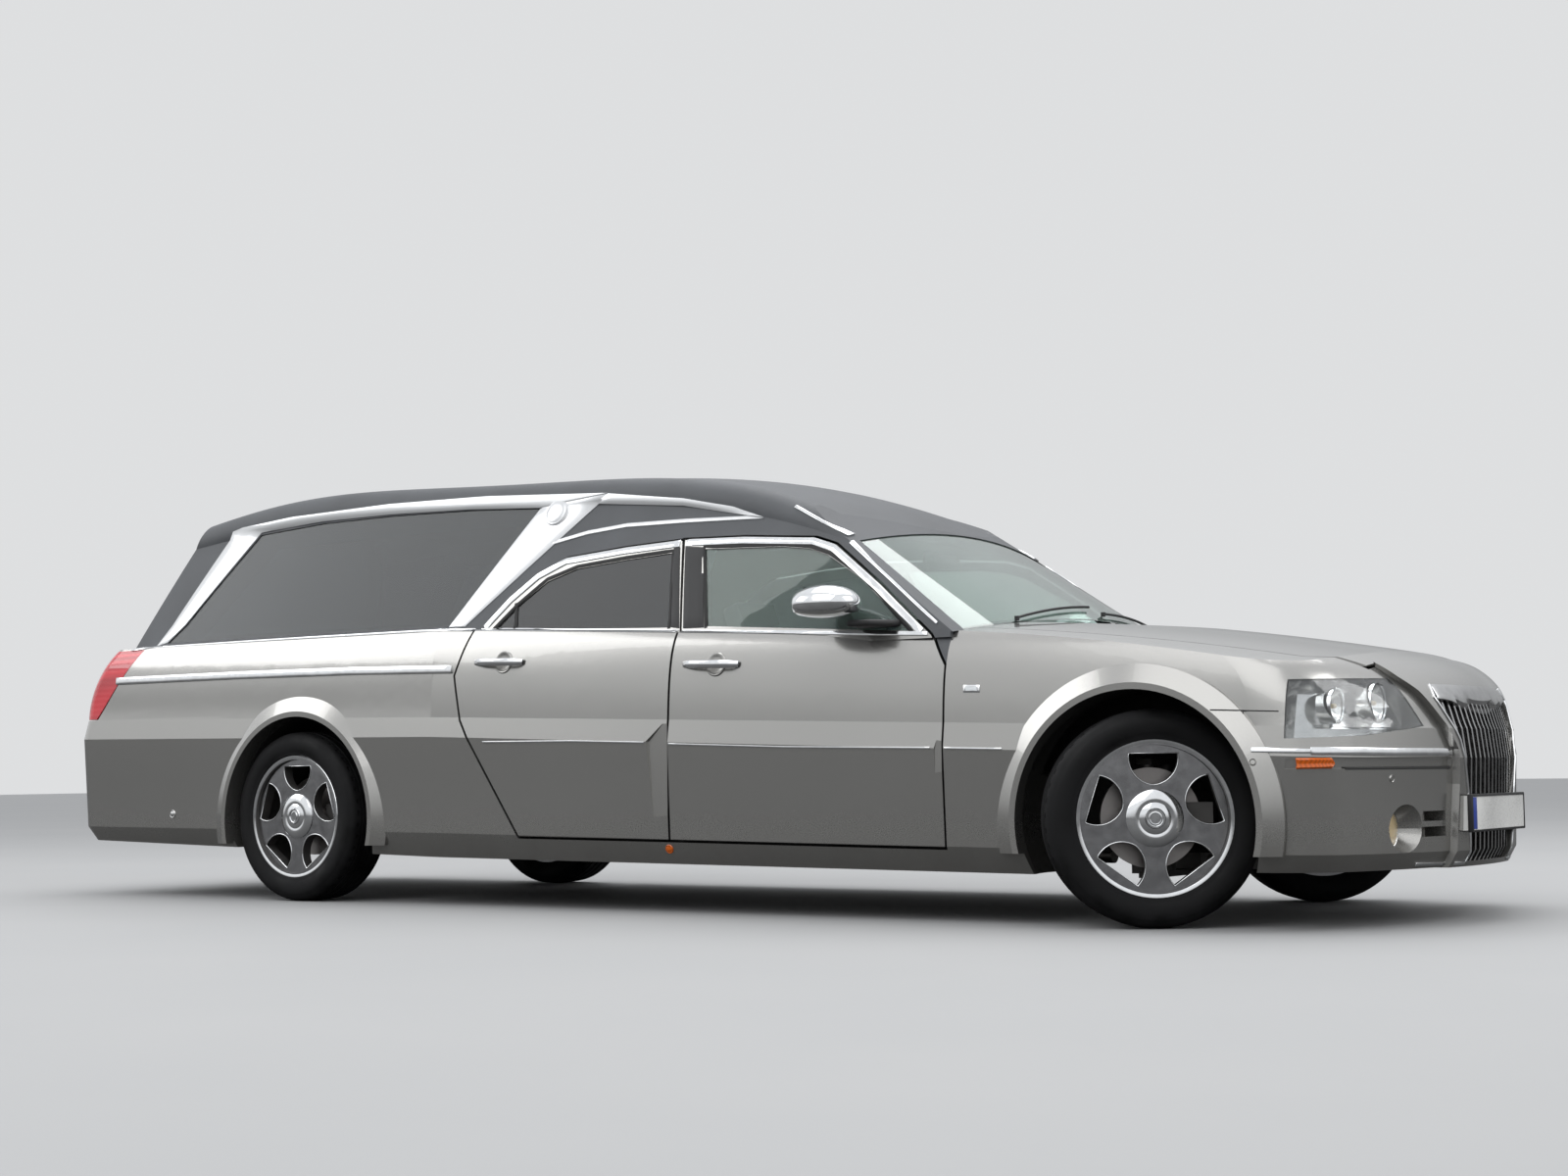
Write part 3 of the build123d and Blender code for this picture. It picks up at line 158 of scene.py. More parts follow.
def grained(name, colour, scale, rough, depth, sheen=0.0):
    """A grained skin such as vinyl roof cover, moulded plastic or leather."""
    f = Finish(name).set(Sheen_Weight=sheen)
    cells = f.cells(scale)
    fine = f.noise(scale * 2.6, 5.0)
    wide = f.noise(3.0, 4.0)
    f.tint(wide, 0.3, 0.7, colour, 0.82, 1.2)
    f.gloss(f.sum(fine, wide, 0.5), 0.5, 1.0, rough - 0.08, rough + 0.1)
    f.bump(f.sum(cells, fine, 0.35), 0.5, depth)
    return f.material


def metal(name, colour, rough, streak=0.0):
    """Bare or plated metal with a faint unevenness."""
    f = Finish(name).set(Metallic=1.0)
    haze = f.noise(26.0, 6.0, 0.6)
    f.tint(haze, 0.3, 0.75, colour, 0.88, 1.06)
    f.gloss(haze, 0.3, 0.75, rough, rough + 0.1 + streak)
    f.bump(f.noise(420.0, 3.0), 0.05 + streak, 0.0003)
    return f.material


def glazing(name, colour, density, ior=1.36, coat=0.1):
    """Tinted glass that lets the inside show, very slightly wavy and streaked."""
    f = Finish(name).set(Transmission_Weight=density, IOR=ior, Coat_Weight=coat, Coat_Roughness=0.02)
    f.tint(f.noise(2.2, 3.0), 0.3, 0.7, colour, 0.92, 1.05)
    f.gloss(f.noise(5.0, 5.0), 0.3, 0.8, 0.0, 0.03)
    f.bump(f.noise(6.0, 2.0), 0.05, 0.002)
    return f.material


def lens(name, colour, density, pitch):
    """Moulded lamp lens with fine upright flutes crossed by bars."""
    f = Finish(name).set(Transmission_Weight=density, IOR=1.45, Coat_Weight=0.6, Coat_Roughness=0.02)
    along = f.node("ShaderNodeMapping", {"Vector": f.coords, "Scale": (0.4, 1.0, 1.0)}).outputs["Vector"]
    flutes, bars = (f.node("ShaderNodeTexWave", {"Vector": along, "Scale": scale},
                           bands_direction=way).outputs["Fac"]
                    for scale, way in ((pitch, "Y"), (pitch * 0.5, "Z")))
    f.tint(flutes, 0.0, 1.0, colour, 0.8, 1.15)
    f.gloss(f.noise(30.0, 3.0), 0.3, 0.7, 0.03, 0.1)
    f.bump(f.sum(flutes, bars, 0.6), 0.35, 0.0012)
    return f.material


def rubber(name, colour, rough):
    """Tyre rubber, a little dusty and still damp in patches."""
    f = Finish(name).set(Specular_IOR_Level=0.22)
    damp = f.noise(9.0, 5.0, 0.6)
    f.tint(damp, 0.35, 0.65, colour, 0.6, 1.9)
    f.gloss(damp, 0.35, 0.65, rough - 0.22, rough + 0.15)
    f.bump(f.noise(900.0, 4.0), 0.25, 0.0004)
    return f.material


def planks(name, colour):
    """Varnished wood with its grain along the car."""
    f = Finish(name).set(Coat_Weight=0.7, Coat_Roughness=0.08)
    along = f.node("ShaderNodeMapping", {"Vector": f.coords, "Scale": (0.8, 9.0, 9.0)}).outputs["Vector"]
    grain = f.noise(6.0, 8.0, 0.65, along)
    f.tint(grain, 0.35, 0.65, colour, 0.55, 1.25)
    f.gloss(grain, 0.3, 0.7, 0.28, 0.45)
    f.bump(grain, 0.12, 0.0008)
    return f.material


class HearseColours(bpy.types.PropertyGroup):
    """Colours of the car's finishes."""
    paint: bpy.props.FloatVectorProperty(
        name="Paint", description="Metallic body colour", subtype="COLOR", size=3,
        default=(0.395, 0.389, 0.372), min=0.0, max=1.0)
    cover: bpy.props.FloatVectorProperty(
        name="Roof cover", description="Grained roof covering", subtype="COLOR", size=3,
        default=(0.082, 0.087, 0.094), min=0.0, max=1.0)
    band: bpy.props.FloatVectorProperty(
        name="Window band", description="Pale band round the load windows", subtype="COLOR", size=3,
        default=(0.7, 0.71, 0.72), min=0.0, max=1.0)
    cabin_tint: bpy.props.FloatVectorProperty(
        name="Cabin glass", description="Tint of the windscreen and front windows", subtype="COLOR", size=3,
        default=(0.62, 0.76, 0.7), min=0.0, max=1.0)
    load_tint: bpy.props.FloatVectorProperty(
        name="Load space glass", description="Tint of the rear windows", subtype="COLOR", size=3,
        default=(0.1, 0.122, 0.135), min=0.0, max=1.0)


class HearseSizes(bpy.types.PropertyGroup):
    """Sizes of the added pieces."""
    tread_depth: bpy.props.FloatProperty(
        name="Tread depth", description="Depth of the tyres' grooves", default=0.007, min=0.002, max=0.01,
        unit="LENGTH")
    trim_width: bpy.props.FloatProperty(
        name="Trim width", description="Width of the bright strip along the belt", default=0.014,
        min=0.004, max=0.03, unit="LENGTH")


FINISHES = {}


def make_finishes(colours):
    """Builds every finish once and keeps it by name."""
    cabin, load = tuple(colours.cabin_tint), tuple(colours.load_tint)
    FINISHES.update({
        "paint": body_paint("body_paint", tuple(colours.paint)),
        "cover": grained("roof_cover", tuple(colours.cover), 420.0, 0.55, 0.0009),
        "dark": grained("dark_plastic", (0.018, 0.018, 0.019), 500.0, 0.5, 0.0006),
        "underseal": grained("underseal", (0.02, 0.019, 0.018), 120.0, 0.75, 0.002),
        "cast": metal("cast_metal", (0.17, 0.165, 0.16), 0.55, 0.1),
        "pipe": metal("pipe_steel", (0.34, 0.32, 0.3), 0.35, 0.1),
        "alloy": metal("wheel_alloy", (0.4, 0.4, 0.41), 0.13),
        "bright": metal("bright_trim", (0.86, 0.87, 0.88), 0.06),
        "dark_chrome": metal("dark_chrome", (0.6, 0.6, 0.6), 0.12),
        "disc": metal("brake_disc", (0.36, 0.34, 0.33), 0.3, 0.15),
        "band": body_paint("window_band", tuple(colours.band), 0.4),
        "rubber": rubber("tyre_rubber", (0.007, 0.007, 0.0075), 0.72),
        "seal": grained("rubber_seal", (0.008, 0.008, 0.008), 300.0, 0.6, 0.0003),
        "cabin_glass": glazing("cabin_glass", cabin, 0.92),
        "screen_glass": glazing("windscreen_glass", cabin, 0.92, 1.5, 0.4),
        "load_glass": glazing("load_glass", load, 0.9),
        "rear_glass": glazing("rear_glass", shade(load, 0.6), 0.92),
        "lamp_glass": glazing("lamp_glass", (0.93, 0.95, 0.96), 0.97, 1.45, 0.25),
        "red_lens": lens("red_lens", (0.66, 0.035, 0.05), 0.08, 26.0),
        "amber_lens": lens("amber_lens", (0.85, 0.16, 0.01), 0.2, 40.0),
        "warm_lens": lens("warm_lens", (0.95, 0.72, 0.42), 0.35, 46.0),
        "reflector": metal("lamp_reflector", (0.8, 0.8, 0.79), 0.1),
        "cloth": grained("cloth_lining", (0.17, 0.17, 0.175), 700.0, 0.85, 0.0004, 0.3),
        "leather": grained("seat_leather", (0.045, 0.046, 0.05), 260.0, 0.45, 0.0009, 0.1),
        "wood": planks("deck_wood", (0.16, 0.075, 0.035)),
        "plate_blue": grained("plate_band", (0.02, 0.05, 0.3), 90.0, 0.3, 0.0001),
        "plate": grained("plate_face", (0.8, 0.8, 0.78), 90.0, 0.3, 0.0001),
    })


PLACES = ("front_right", "front_left", "rear_right", "rear_left")
DOOR_PANELS = tuple("door_%s_panel" % place for place in PLACES)
NODES_BY_FINISH = {
    "paint": ("bonnet", "wings", "sides", "nose_panel", "front_bumper", "rear_bumper", "tailgate")
    + DOOR_PANELS,
    "cover": ("roof",),
    "dark": ("cowl", "wipers"),
    "dark_chrome": ("grille",),
    "lamp_glass": ("headlamps",),
    "reflector": ("headlamp_units",),
    "warm_lens": ("fog_lamps",),
    "red_lens": ("tail_lamps",),
    "screen_glass": ("windscreen",),
    "load_glass": ("load_bay_glass", "tailgate_glass"),
    "cabin_glass": ("door_front_right_glass", "door_front_left_glass"),
    "rear_glass": ("door_rear_right_glass", "door_rear_left_glass"),
    "underseal": ("underbody",),
    "cast": ("engine_block", "front_suspension", "rear_axle", "knuckle_left", "knuckle_right"),
    "pipe": ("exhaust",),
    "leather": ("dashboard", "steering_wheel", "front_seats", "rear_seat"),
    "wood": ("load_deck",),
    "plate": ("number_plates",),
    "alloy": tuple("rim_" + place for place in PLACES),
    "rubber": tuple("tyre_" + place for place in PLACES),
}


def coat(obj, *keys):
    """Gives an object these finishes in order, and none else."""
    obj.data.materials.clear()
    for key in keys:
        obj.data.materials.append(FINISHES[key])


def coat_zones(obj, keys, zone):
    """Coats each face with the finish whose place zone(centre, normal) gives."""
    coat(obj, *keys)
    for face in obj.data.polygons:
        face.material_index = zone(face.center, face.normal)


class HEARSE_OT_coat_nodes(bpy.types.Operator):
    """Give every part of the solid car its finish"""
    bl_idname = "hearse.coat_nodes"
    bl_label = "Coat the car"

    def execute(self, context):
        make_finishes(context.scene.hearse_colours)
        for finish, names in NODES_BY_FINISH.items():
            for name in names:
                coat(nodes[name], finish)
                smooth(nodes[name], 30.0)
        return {"FINISHED"}


# Modelling helpers

def clear_selection():
    """Leaves edit mode and selects nothing."""
    if bpy.context.object and bpy.context.object.mode != "OBJECT":
        close()
    bpy.ops.object.select_all(action="DESELECT")


def focus(obj):
    """Selects one object alone."""
    clear_selection()
    obj.select_set(True)
    bpy.context.view_layer.objects.active = obj


def edit(obj, action="SELECT"):
    """Opens an object in edit mode with all of it selected, or nothing."""
    focus(obj)
    bpy.ops.object.mode_set(mode="EDIT")
    bpy.ops.mesh.select_all(action=action)


def close():
    """Leaves edit mode."""
    bpy.ops.object.mode_set(mode="OBJECT")


def smooth(obj, angle):
    """Shades one object smooth up to an angle in degrees."""
    focus(obj)
    bpy.ops.object.shade_smooth_by_angle(angle=math.radians(angle))


def settle(obj):
    """Puts a finished piece's place into its mesh."""
    focus(obj)
    bpy.ops.object.transform_apply(location=True, rotation=True, scale=True)


def modify(obj, kind, **settings):
    """Adds a modifier and applies it at once."""
    focus(obj)
    made = obj.modifiers.new(kind.lower(), kind)
    for key, value in settings.items():
        setattr(made, key, value)
    bpy.ops.object.modifier_apply(modifier=made.name)


def pick_faces(obj, test):
    """Goes into edit mode with the faces selected that pass a test of centre and normal."""
    edit(obj, "DESELECT")
    bpy.ops.mesh.select_mode(type="FACE")
    close()
    for face in obj.data.polygons:
        face.select = bool(test(face.center, face.normal))
    bpy.ops.object.mode_set(mode="EDIT")


def sink(obj, test, margin, move):
    """Insets the faces that pass a test and moves them, with walls round them."""
    pick_faces(obj, test)
    bpy.ops.mesh.inset(thickness=margin, depth=0.0)
    bpy.ops.mesh.extrude_region_move(TRANSFORM_OT_translate={"value": move})
    close()


def flip(obj):
    """Turns all faces of a mesh round."""
    edit(obj)
    bpy.ops.mesh.flip_normals()
    close()


def tidy_normals(obj):
    """Closes doubled points and points all faces outwards."""
    edit(obj)
    bpy.ops.mesh.remove_doubles(threshold=0.0002)
    bpy.ops.mesh.normals_make_consistent(inside=False)
    close()
    return obj


def hang(obj, finish, body):
    """Lets a piece ride on its body. The finish is not used."""
    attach(obj, body)


def finish_piece(obj, name, finish, body="body", angle=35.0):
    """Names a piece, coats it, shades it and hangs it on its body."""
    obj.name = name
    obj.data.name = name
    coat(obj, finish)
    smooth(obj, angle)
    settle(obj)
    hang(obj, finish, body)
    return obj


def duplicated(obj, name):
    """A copy of a piece with its own mesh."""
    focus(obj)
    bpy.ops.object.duplicate()
    copy = bpy.context.object
    copy.name = name
    return copy


def placed(source, name, finish, body, place, turn=(0.0, 0.0, 0.0), size=(1.0, 1.0, 1.0), angle=35.0):
    """A finished copy of a piece, scaled, turned and put in its place."""
    copy = duplicated(source, name)
    copy.location = place
    copy.rotation_euler = turn
    copy.scale = size
    return finish_piece(copy, name, finish, body, angle)


def discard(*pieces):
    """Deletes pieces that were only made to be copied."""
    for piece in pieces:
        focus(piece)
        bpy.ops.object.delete()


def both(obj, name, finish, body="body", angle=35.0):
    """Finishes a right-hand piece and its mirror image."""
    finish_piece(obj, name + "_right", finish, body, angle)
    copy = duplicated(obj, name + "_left")
    copy.scale.y = -1.0
    settle(copy)
    flip(copy)
    copy.data.name = copy.name
    hang(copy, finish, body.replace("right", "left"))


def grid_piece(columns, rows, place):
    """A grid whose points are put in place by place(u, v), each from 0 to 1."""
    clear_selection()
    bpy.ops.mesh.primitive_grid_add(x_subdivisions=columns, y_subdivisions=rows, size=2.0)
    obj = bpy.context.object
    for vert in obj.data.vertices:
        vert.co = place((vert.co.x + 1.0) / 2.0, (vert.co.y + 1.0) / 2.0)
    return obj


# The car's skin, which the added trim follows

SKIN_NODES = (
    "sides", "roof", "wings", "front_bumper", "rear_bumper", "nose_panel", "bonnet", "cowl", "headlamps",
    "tail_lamps", "tailgate", "tailgate_glass", "load_bay_glass", "windscreen", "door_front_right_panel",
    "door_rear_right_panel", "door_front_right_glass", "door_rear_right_glass",
)
NEAR_STEPS = ((0.0, 0.0), (0.014, 0.0), (-0.014, 0.0), (0.0, 0.014), (0.0, -0.014), (0.03, 0.0),
              (-0.03, 0.0), (0.0, -0.03))
VIEWS = {
    # where the looks at the skin start, their direction, and a place to fall back on
    "side": (Vector((0.0, -1.5, 0.0)), Vector((0.0, 1.0, 0.0)), -0.85),
    "front": (Vector((4.0, 0.0, 0.0)), Vector((-1.0, 0.0, 0.0)), 2.9),
    "rear": (Vector((-4.0, 0.0, 0.0)), Vector((1.0, 0.0, 0.0)), -3.05),
}


def skin_tree(names):
    """A search tree over the faces of several nodes."""
    points, faces = [], []
    for name in names:
        mesh = nodes[name].data
        start = len(points)
        points.extend(vert.co.copy() for vert in mesh.vertices)
        faces.extend(tuple(start + i for i in face.vertices) for face in mesh.polygons)
    return BVHTree.FromPolygons(points, faces)


SKIN = skin_tree(SKIN_NODES)


def look(view, along, height):
    """The place and the normal of the skin at a point of one view, or close to it."""
    start, way, spare = VIEWS[view]
    run = Vector((1.0, 0.0, 0.0)) if view == "side" else Vector((0.0, 1.0, 0.0))
    for da, dz in NEAR_STEPS:
        source = start + run * (along + da) + Vector((0.0, 0.0, height + dz))
        hit, normal = SKIN.ray_cast(source, way)[:2]
        if hit and (hit - source).length < 1.5:
            return hit, normal if normal.dot(way) < 0.0 else -normal
    if view == "side":
        return Vector((along, spare, height)), -way
    return Vector((spare, along, height)), -way


def side_y(x, z):
    """Where the right side's skin lies at a point of the side view."""
    return look("side", x, z)[0].y


def on_skin(view, spot, sunk):
    """A point of one view put on the skin, and a little into it."""
    if view == "side":
        return Vector((spot.x, side_y(spot.x, spot.y) + sunk, spot.y))
    hit = look(view, spot.x, spot.y)[0]
    return Vector((hit.x + (sunk if view == "rear" else -sunk), spot.x, spot.y))


def stations_pair(inner, outer, step):
    """Two polylines of as many corners, divided alike."""
    first, second = [], []
    for corners in zip(inner, inner[1:], outer, outer[1:]):
        a, b, c, d = (Vector(corner) for corner in corners)
        count = max(1, round(max((b - a).length, (d - c).length) / step))
        first.extend(a.lerp(b, k / count) for k in range(count))
        second.extend(c.lerp(d, k / count) for k in range(count))
    return first + [Vector(inner[-1])], second + [Vector(outer[-1])]


def stations(path, step):
    """Points and unit normals along a polyline, at an even step, with mitres at its corners."""
    made = stations_pair(path, path, step)[0]
    result = []
    for k, point in enumerate(made):
        before = (point - made[k - 1]).normalized() if k else None
        after = (made[k + 1] - point).normalized() if k + 1 < len(made) else None
        way = ((before or after) + (after or before)).normalized()
        result.append((point, Vector((-way.y, way.x))))
    return result


def thicken(obj, view, depth, edge):
    """Gives a sheet its thickness towards the one who looks at it, and rounds its edges."""
    way = sum((face.normal * face.area for face in obj.data.polygons), Vector())
    if way.dot(VIEWS[view][1]) > 0.0:
        flip(obj)
    modify(obj, "SOLIDIFY", thickness=depth, offset=1.0)
    tidy_normals(obj)
    modify(obj, "BEVEL", width=edge, segments=2, limit_method="ANGLE", angle_limit=math.radians(50.0))
    return obj


def ribbon(path, width, rise, step=0.04, sunk=0.003, view="side"):
    """A raised strip that follows a path over the skin."""
    row = stations(path, step)
    last = len(row) - 1

    def place(u, v):
        point, across = row[round(u * last)]
        return on_skin(view, point + across * (v - 0.5) * width, sunk)

    return thicken(grid_piece(last, 2, place), view, rise + sunk, min(rise, width) * 0.3)


def sheet(inner, outer, depth, edge, rows, sunk, view="side", step=0.05):
    """A sheet over the skin, or behind it, between two matching polylines."""
    first, second = stations_pair(inner, outer, step)
    last = len(first) - 1

    def place(u, v):
        k = round(u * last)
        return on_skin(view, first[k].lerp(second[k], v), sunk)

    return thicken(grid_piece(last, rows, place), view, depth, edge)


def patch(inner, outer, rise, rows=3, sunk=0.003, view="side"):
    """A raised sheet between two matching polylines."""
    return sheet(inner, outer, rise + sunk, rise * 0.4, rows, sunk, view)


def lay_strips(view, rows):
    """Lays a table of strips. One that ends beyond the car's middle has no mirror image."""
    for name, finish, body, width, rise, path, *step_and_depth in rows:
        strip = ribbon(path, width, rise, *step_and_depth, view=view)
        if view != "side" and path[-1][0] > 0.0:
            finish_piece(strip, name, finish, body, 40.0)
        else:
            both(strip, name, finish, body)


def spun(obj, steps):
    """Spins a profile's edges all the way round the Y axis."""
    bpy.ops.mesh.select_all(action="SELECT")
    bpy.ops.mesh.spin(steps=steps, angle=math.tau, center=(0.0, 0.0, 0.0), axis=(0.0, 1.0, 0.0))
    close()
    return tidy_normals(obj)


def turned_ring(profile, steps, place=(0.0, 0.0, 0.0), turn=0.0):
    """A closed profile of (radius, depth) points spun about the Y axis, then turned about Z."""
    clear_selection()
    bpy.ops.mesh.primitive_circle_add(vertices=len(profile), radius=0.1, fill_type="NOTHING")
    obj = bpy.context.object
    for vert, (radius, depth) in zip(obj.data.vertices, profile):
        vert.co = (radius, depth, 0.0)
    bpy.ops.object.mode_set(mode="EDIT")
    spun(obj, steps)
    obj.location = place
    obj.rotation_euler = (0.0, 0.0, turn)
    return obj


def turned_dish(profile, steps):
    """Like turned_ring, for an open profile that starts and ends on the axis or nearby."""
    clear_selection()
    last = len(profile) - 1
    bpy.ops.mesh.primitive_grid_add(x_subdivisions=last, y_subdivisions=1, size=2.0)
    obj = bpy.context.object
    edit(obj, "DESELECT")
    close()
    for vert in obj.data.vertices:
        radius, depth = profile[round((vert.co.x + 1.0) / 2.0 * last)]
        vert.select = vert.co.y > 0.0
        vert.co = (radius, depth, 0.0 if vert.select else -1.0)
    bpy.ops.object.mode_set(mode="EDIT")
    bpy.ops.mesh.select_mode(type="VERT")
    bpy.ops.mesh.select_all(action="INVERT")
    bpy.ops.mesh.delete(type="VERT")
    return spun(obj, steps)


def stud(profile, steps, place, way):
    """A turned piece that looks in a given direction from its place."""
    obj = turned_dish(profile, steps)
    obj.location = place
    obj.rotation_euler = Vector(way).to_track_quat("-Y", "Z").to_euler()
    return obj


def stud_on(view, along, height, profile, steps=32):
    """A turned piece seated square on the skin."""
    hit, normal = look(view, along, height)
    return stud(profile, steps, hit, normal)


def rounded_box(low, high, edge, segments=3):
    """A box between two corners with rounded edges."""
    clear_selection()
    low, high = Vector(low), Vector(high)
    bpy.ops.mesh.primitive_cube_add(size=1.0, location=(low + high) / 2.0)
    obj = bpy.context.object
    obj.scale = high - low
    settle(obj)
    modify(obj, "BEVEL", width=edge, segments=segments)
    return obj


# Wheels

def wheel_rows():
    """Name, middle, turn and outward axle of each wheel."""
    for place, x, turn in (("front", FRONT_AXLE, STEER), ("rear", REAR_AXLE, 0.0)):
        left = Vector((-math.sin(turn), math.cos(turn), 0.0))
        for side, y, axle in (("right", -KINGPIN_Y, -left), ("left", KINGPIN_Y, left)):
            yield place + "_" + side, Vector((x, y, WHEEL_Z)) + axle * WHEEL_INSET, turn, axle


TREAD_STEPS = 90
TYRE_TOP = 0.357
TYRE_WALL = ((0.2565, 0.1), (0.262, 0.1065), (0.276, 0.11), (0.305, 0.1124), (0.328, 0.1098),
             (0.342, 0.1035), (0.3495, 0.095), (0.354, 0.086), (TYRE_TOP - 0.0016, 0.066))


def tyre_profile(depth):
    """Cross-section of the tyre as (radius, sideways) points, with four grooves in the tread."""
    half = list(TYRE_WALL)
    for edge in (0.062, 0.024):
        half += [(TYRE_TOP - 0.001, edge), (TYRE_TOP - depth, edge - 0.0012),
                 (TYRE_TOP - depth, edge - 0.0092), (TYRE_TOP - 0.0005, edge - 0.0104)]
    return half + [(radius, -side) for radius, side in reversed(half)]


class HEARSE_OT_tyres(bpy.types.Operator):
    """Turn the tyres with their grooves and cross cuts"""
    bl_idname = "hearse.tyres"
    bl_label = "Tyres"

    def execute(self, context):
        depth = context.scene.hearse_sizes.tread_depth
        first = turned_ring(tyre_profile(depth), TREAD_STEPS)

        def cross_cut(centre, normal):
            step = math.floor((math.atan2(centre.z, centre.x) / math.tau % 1.0) * TREAD_STEPS + 0.01)
            on_tread = math.hypot(centre.x, centre.z) > TYRE_TOP - 0.006
            return on_tread and 0.064 < abs(centre.y) < 0.09 and step % 2 == 0

        pick_faces(first, cross_cut)
        bpy.ops.mesh.inset(thickness=0.0035, depth=0.0)
        bpy.ops.mesh.extrude_region_shrink_fatten(TRANSFORM_OT_shrink_fatten={"value": -depth * 0.6})
        pick_faces(first, lambda centre, normal: 0.29 < math.hypot(centre.x, centre.z) < 0.318
                   and abs(centre.y) > 0.108)
        bpy.ops.mesh.inset(thickness=0.002, depth=0.0012)
        close()
        for place, middle, turn, axle in wheel_rows():
            tyre = placed(first, "tyre_skin_" + place, "rubber", "wheel_" + place, middle,
                          (0.0, 0.0, turn), angle=32.0)
            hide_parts("tyre_" + place)
        discard(first)
        return {"FINISHED"}


BEAD_RADIUS = 0.0024


def from_axle(point, middle, axle):
    """How far a point lies along a wheel's axle, and how far off it."""
    out = point - middle
    depth = out.dot(axle)
    return depth, (out - axle * depth).length


def rim_zones(middle, axle):
    """A rule for a rim's zones: face, window walls, their bright front edges and the brake disc."""
    def zone(centre, normal):
        depth, spread = from_axle(centre, middle, axle)
        if depth < 0.03 and spread < 0.18:
            return 3
        if abs(normal.dot(axle)) < 0.4 and spread < 0.245:
            return 2 if depth > 0.075 and 0.1 < spread < 0.235 else 1
        return 0
    return zone


def window_beads(rim, middle, axle, name, body):
    """The front edges of a rim's windows, drawn off the rim and thickened into fine bright beads."""
    bead = duplicated(rim, name)
    edit(bead)
    bpy.ops.mesh.select_mode(type="EDGE")
    bpy.ops.mesh.remove_doubles(threshold=0.00002)
    bpy.ops.mesh.select_all(action="DESELECT")
    close()
    mesh = bead.data
    kinds = {}
    for face in mesh.polygons:
        kind = "front" if abs(face.normal.dot(axle)) > 0.6 else "wall"
        for key in face.edge_keys:
            kinds.setdefault(key, set()).add(kind)
    for edge in mesh.edges:
        start, end = (mesh.vertices[k].co for k in edge.vertices)
        depth, spread = from_axle((start + end) / 2.0, middle, axle)
        edge.select = len(kinds.get(edge.key, ())) == 2 and depth > 0.07 and 0.1 < spread < 0.238
    bpy.ops.object.mode_set(mode="EDIT")
    bpy.ops.mesh.select_all(action="INVERT")
    bpy.ops.mesh.delete(type="EDGE")
    bpy.ops.mesh.select_all(action="SELECT")
    bpy.ops.mesh.delete_loose(use_verts=True, use_edges=False, use_faces=False)
    bpy.ops.mesh.select_mode(type="VERT")
    close()
    bpy.ops.object.convert(target="CURVE")
    curve = bpy.context.object.data
    curve.bevel_depth = BEAD_RADIUS
    curve.bevel_resolution = 2
    bpy.ops.object.convert(target="MESH")
    finish_piece(bpy.context.object, name, "bright", body, 50.0)


HUB_CAP = ((0.0005, -0.108), (0.017, -0.108), (0.019, -0.1055), (0.024, -0.105), (0.026, -0.1085),
           (0.031, -0.1085), (0.034, -0.105), (0.043, -0.1035), (0.052, -0.1), (0.06, -0.102),
           (0.07, -0.101), (0.08, -0.0975), (0.089, -0.0945), (0.0935, -0.0915), (0.0935, -0.085),
           (0.0005, -0.085))
RIM_LIP = ((0.2405, -0.101), (0.248, -0.104), (0.256, -0.1043), (0.259, -0.1015), (0.258, -0.0985),
           (0.25, -0.097), (0.242, -0.0955))


class HEARSE_OT_wheels(bpy.types.Operator):
    """Finish the rims by zone and add hub caps, outer rings and beads round their windows"""
    bl_idname = "hearse.wheels"
    bl_label = "Wheels"

    def execute(self, context):
        cap = turned_dish(HUB_CAP, 64)
        lip = turned_ring(RIM_LIP, 96)
        for place, middle, turn, axle in wheel_rows():
            rim = nodes["rim_" + place]
            body = "wheel_" + place
            coat_zones(rim, ("alloy", "cast", "bright", "disc"), rim_zones(middle, axle))
            window_beads(rim, middle, axle, "window_beads_" + place, body)
            facing = (0.0, 0.0, turn if axle.y < 0.0 else turn + math.pi)
            placed(cap, "hub_cap_" + place, "bright", body, middle, facing, angle=28.0)
            placed(lip, "rim_lip_" + place, "bright", body, middle, facing, angle=28.0)
        discard(cap, lip)
        return {"FINISHED"}


# Side trim: paths as (along, height) in the side view, in metres

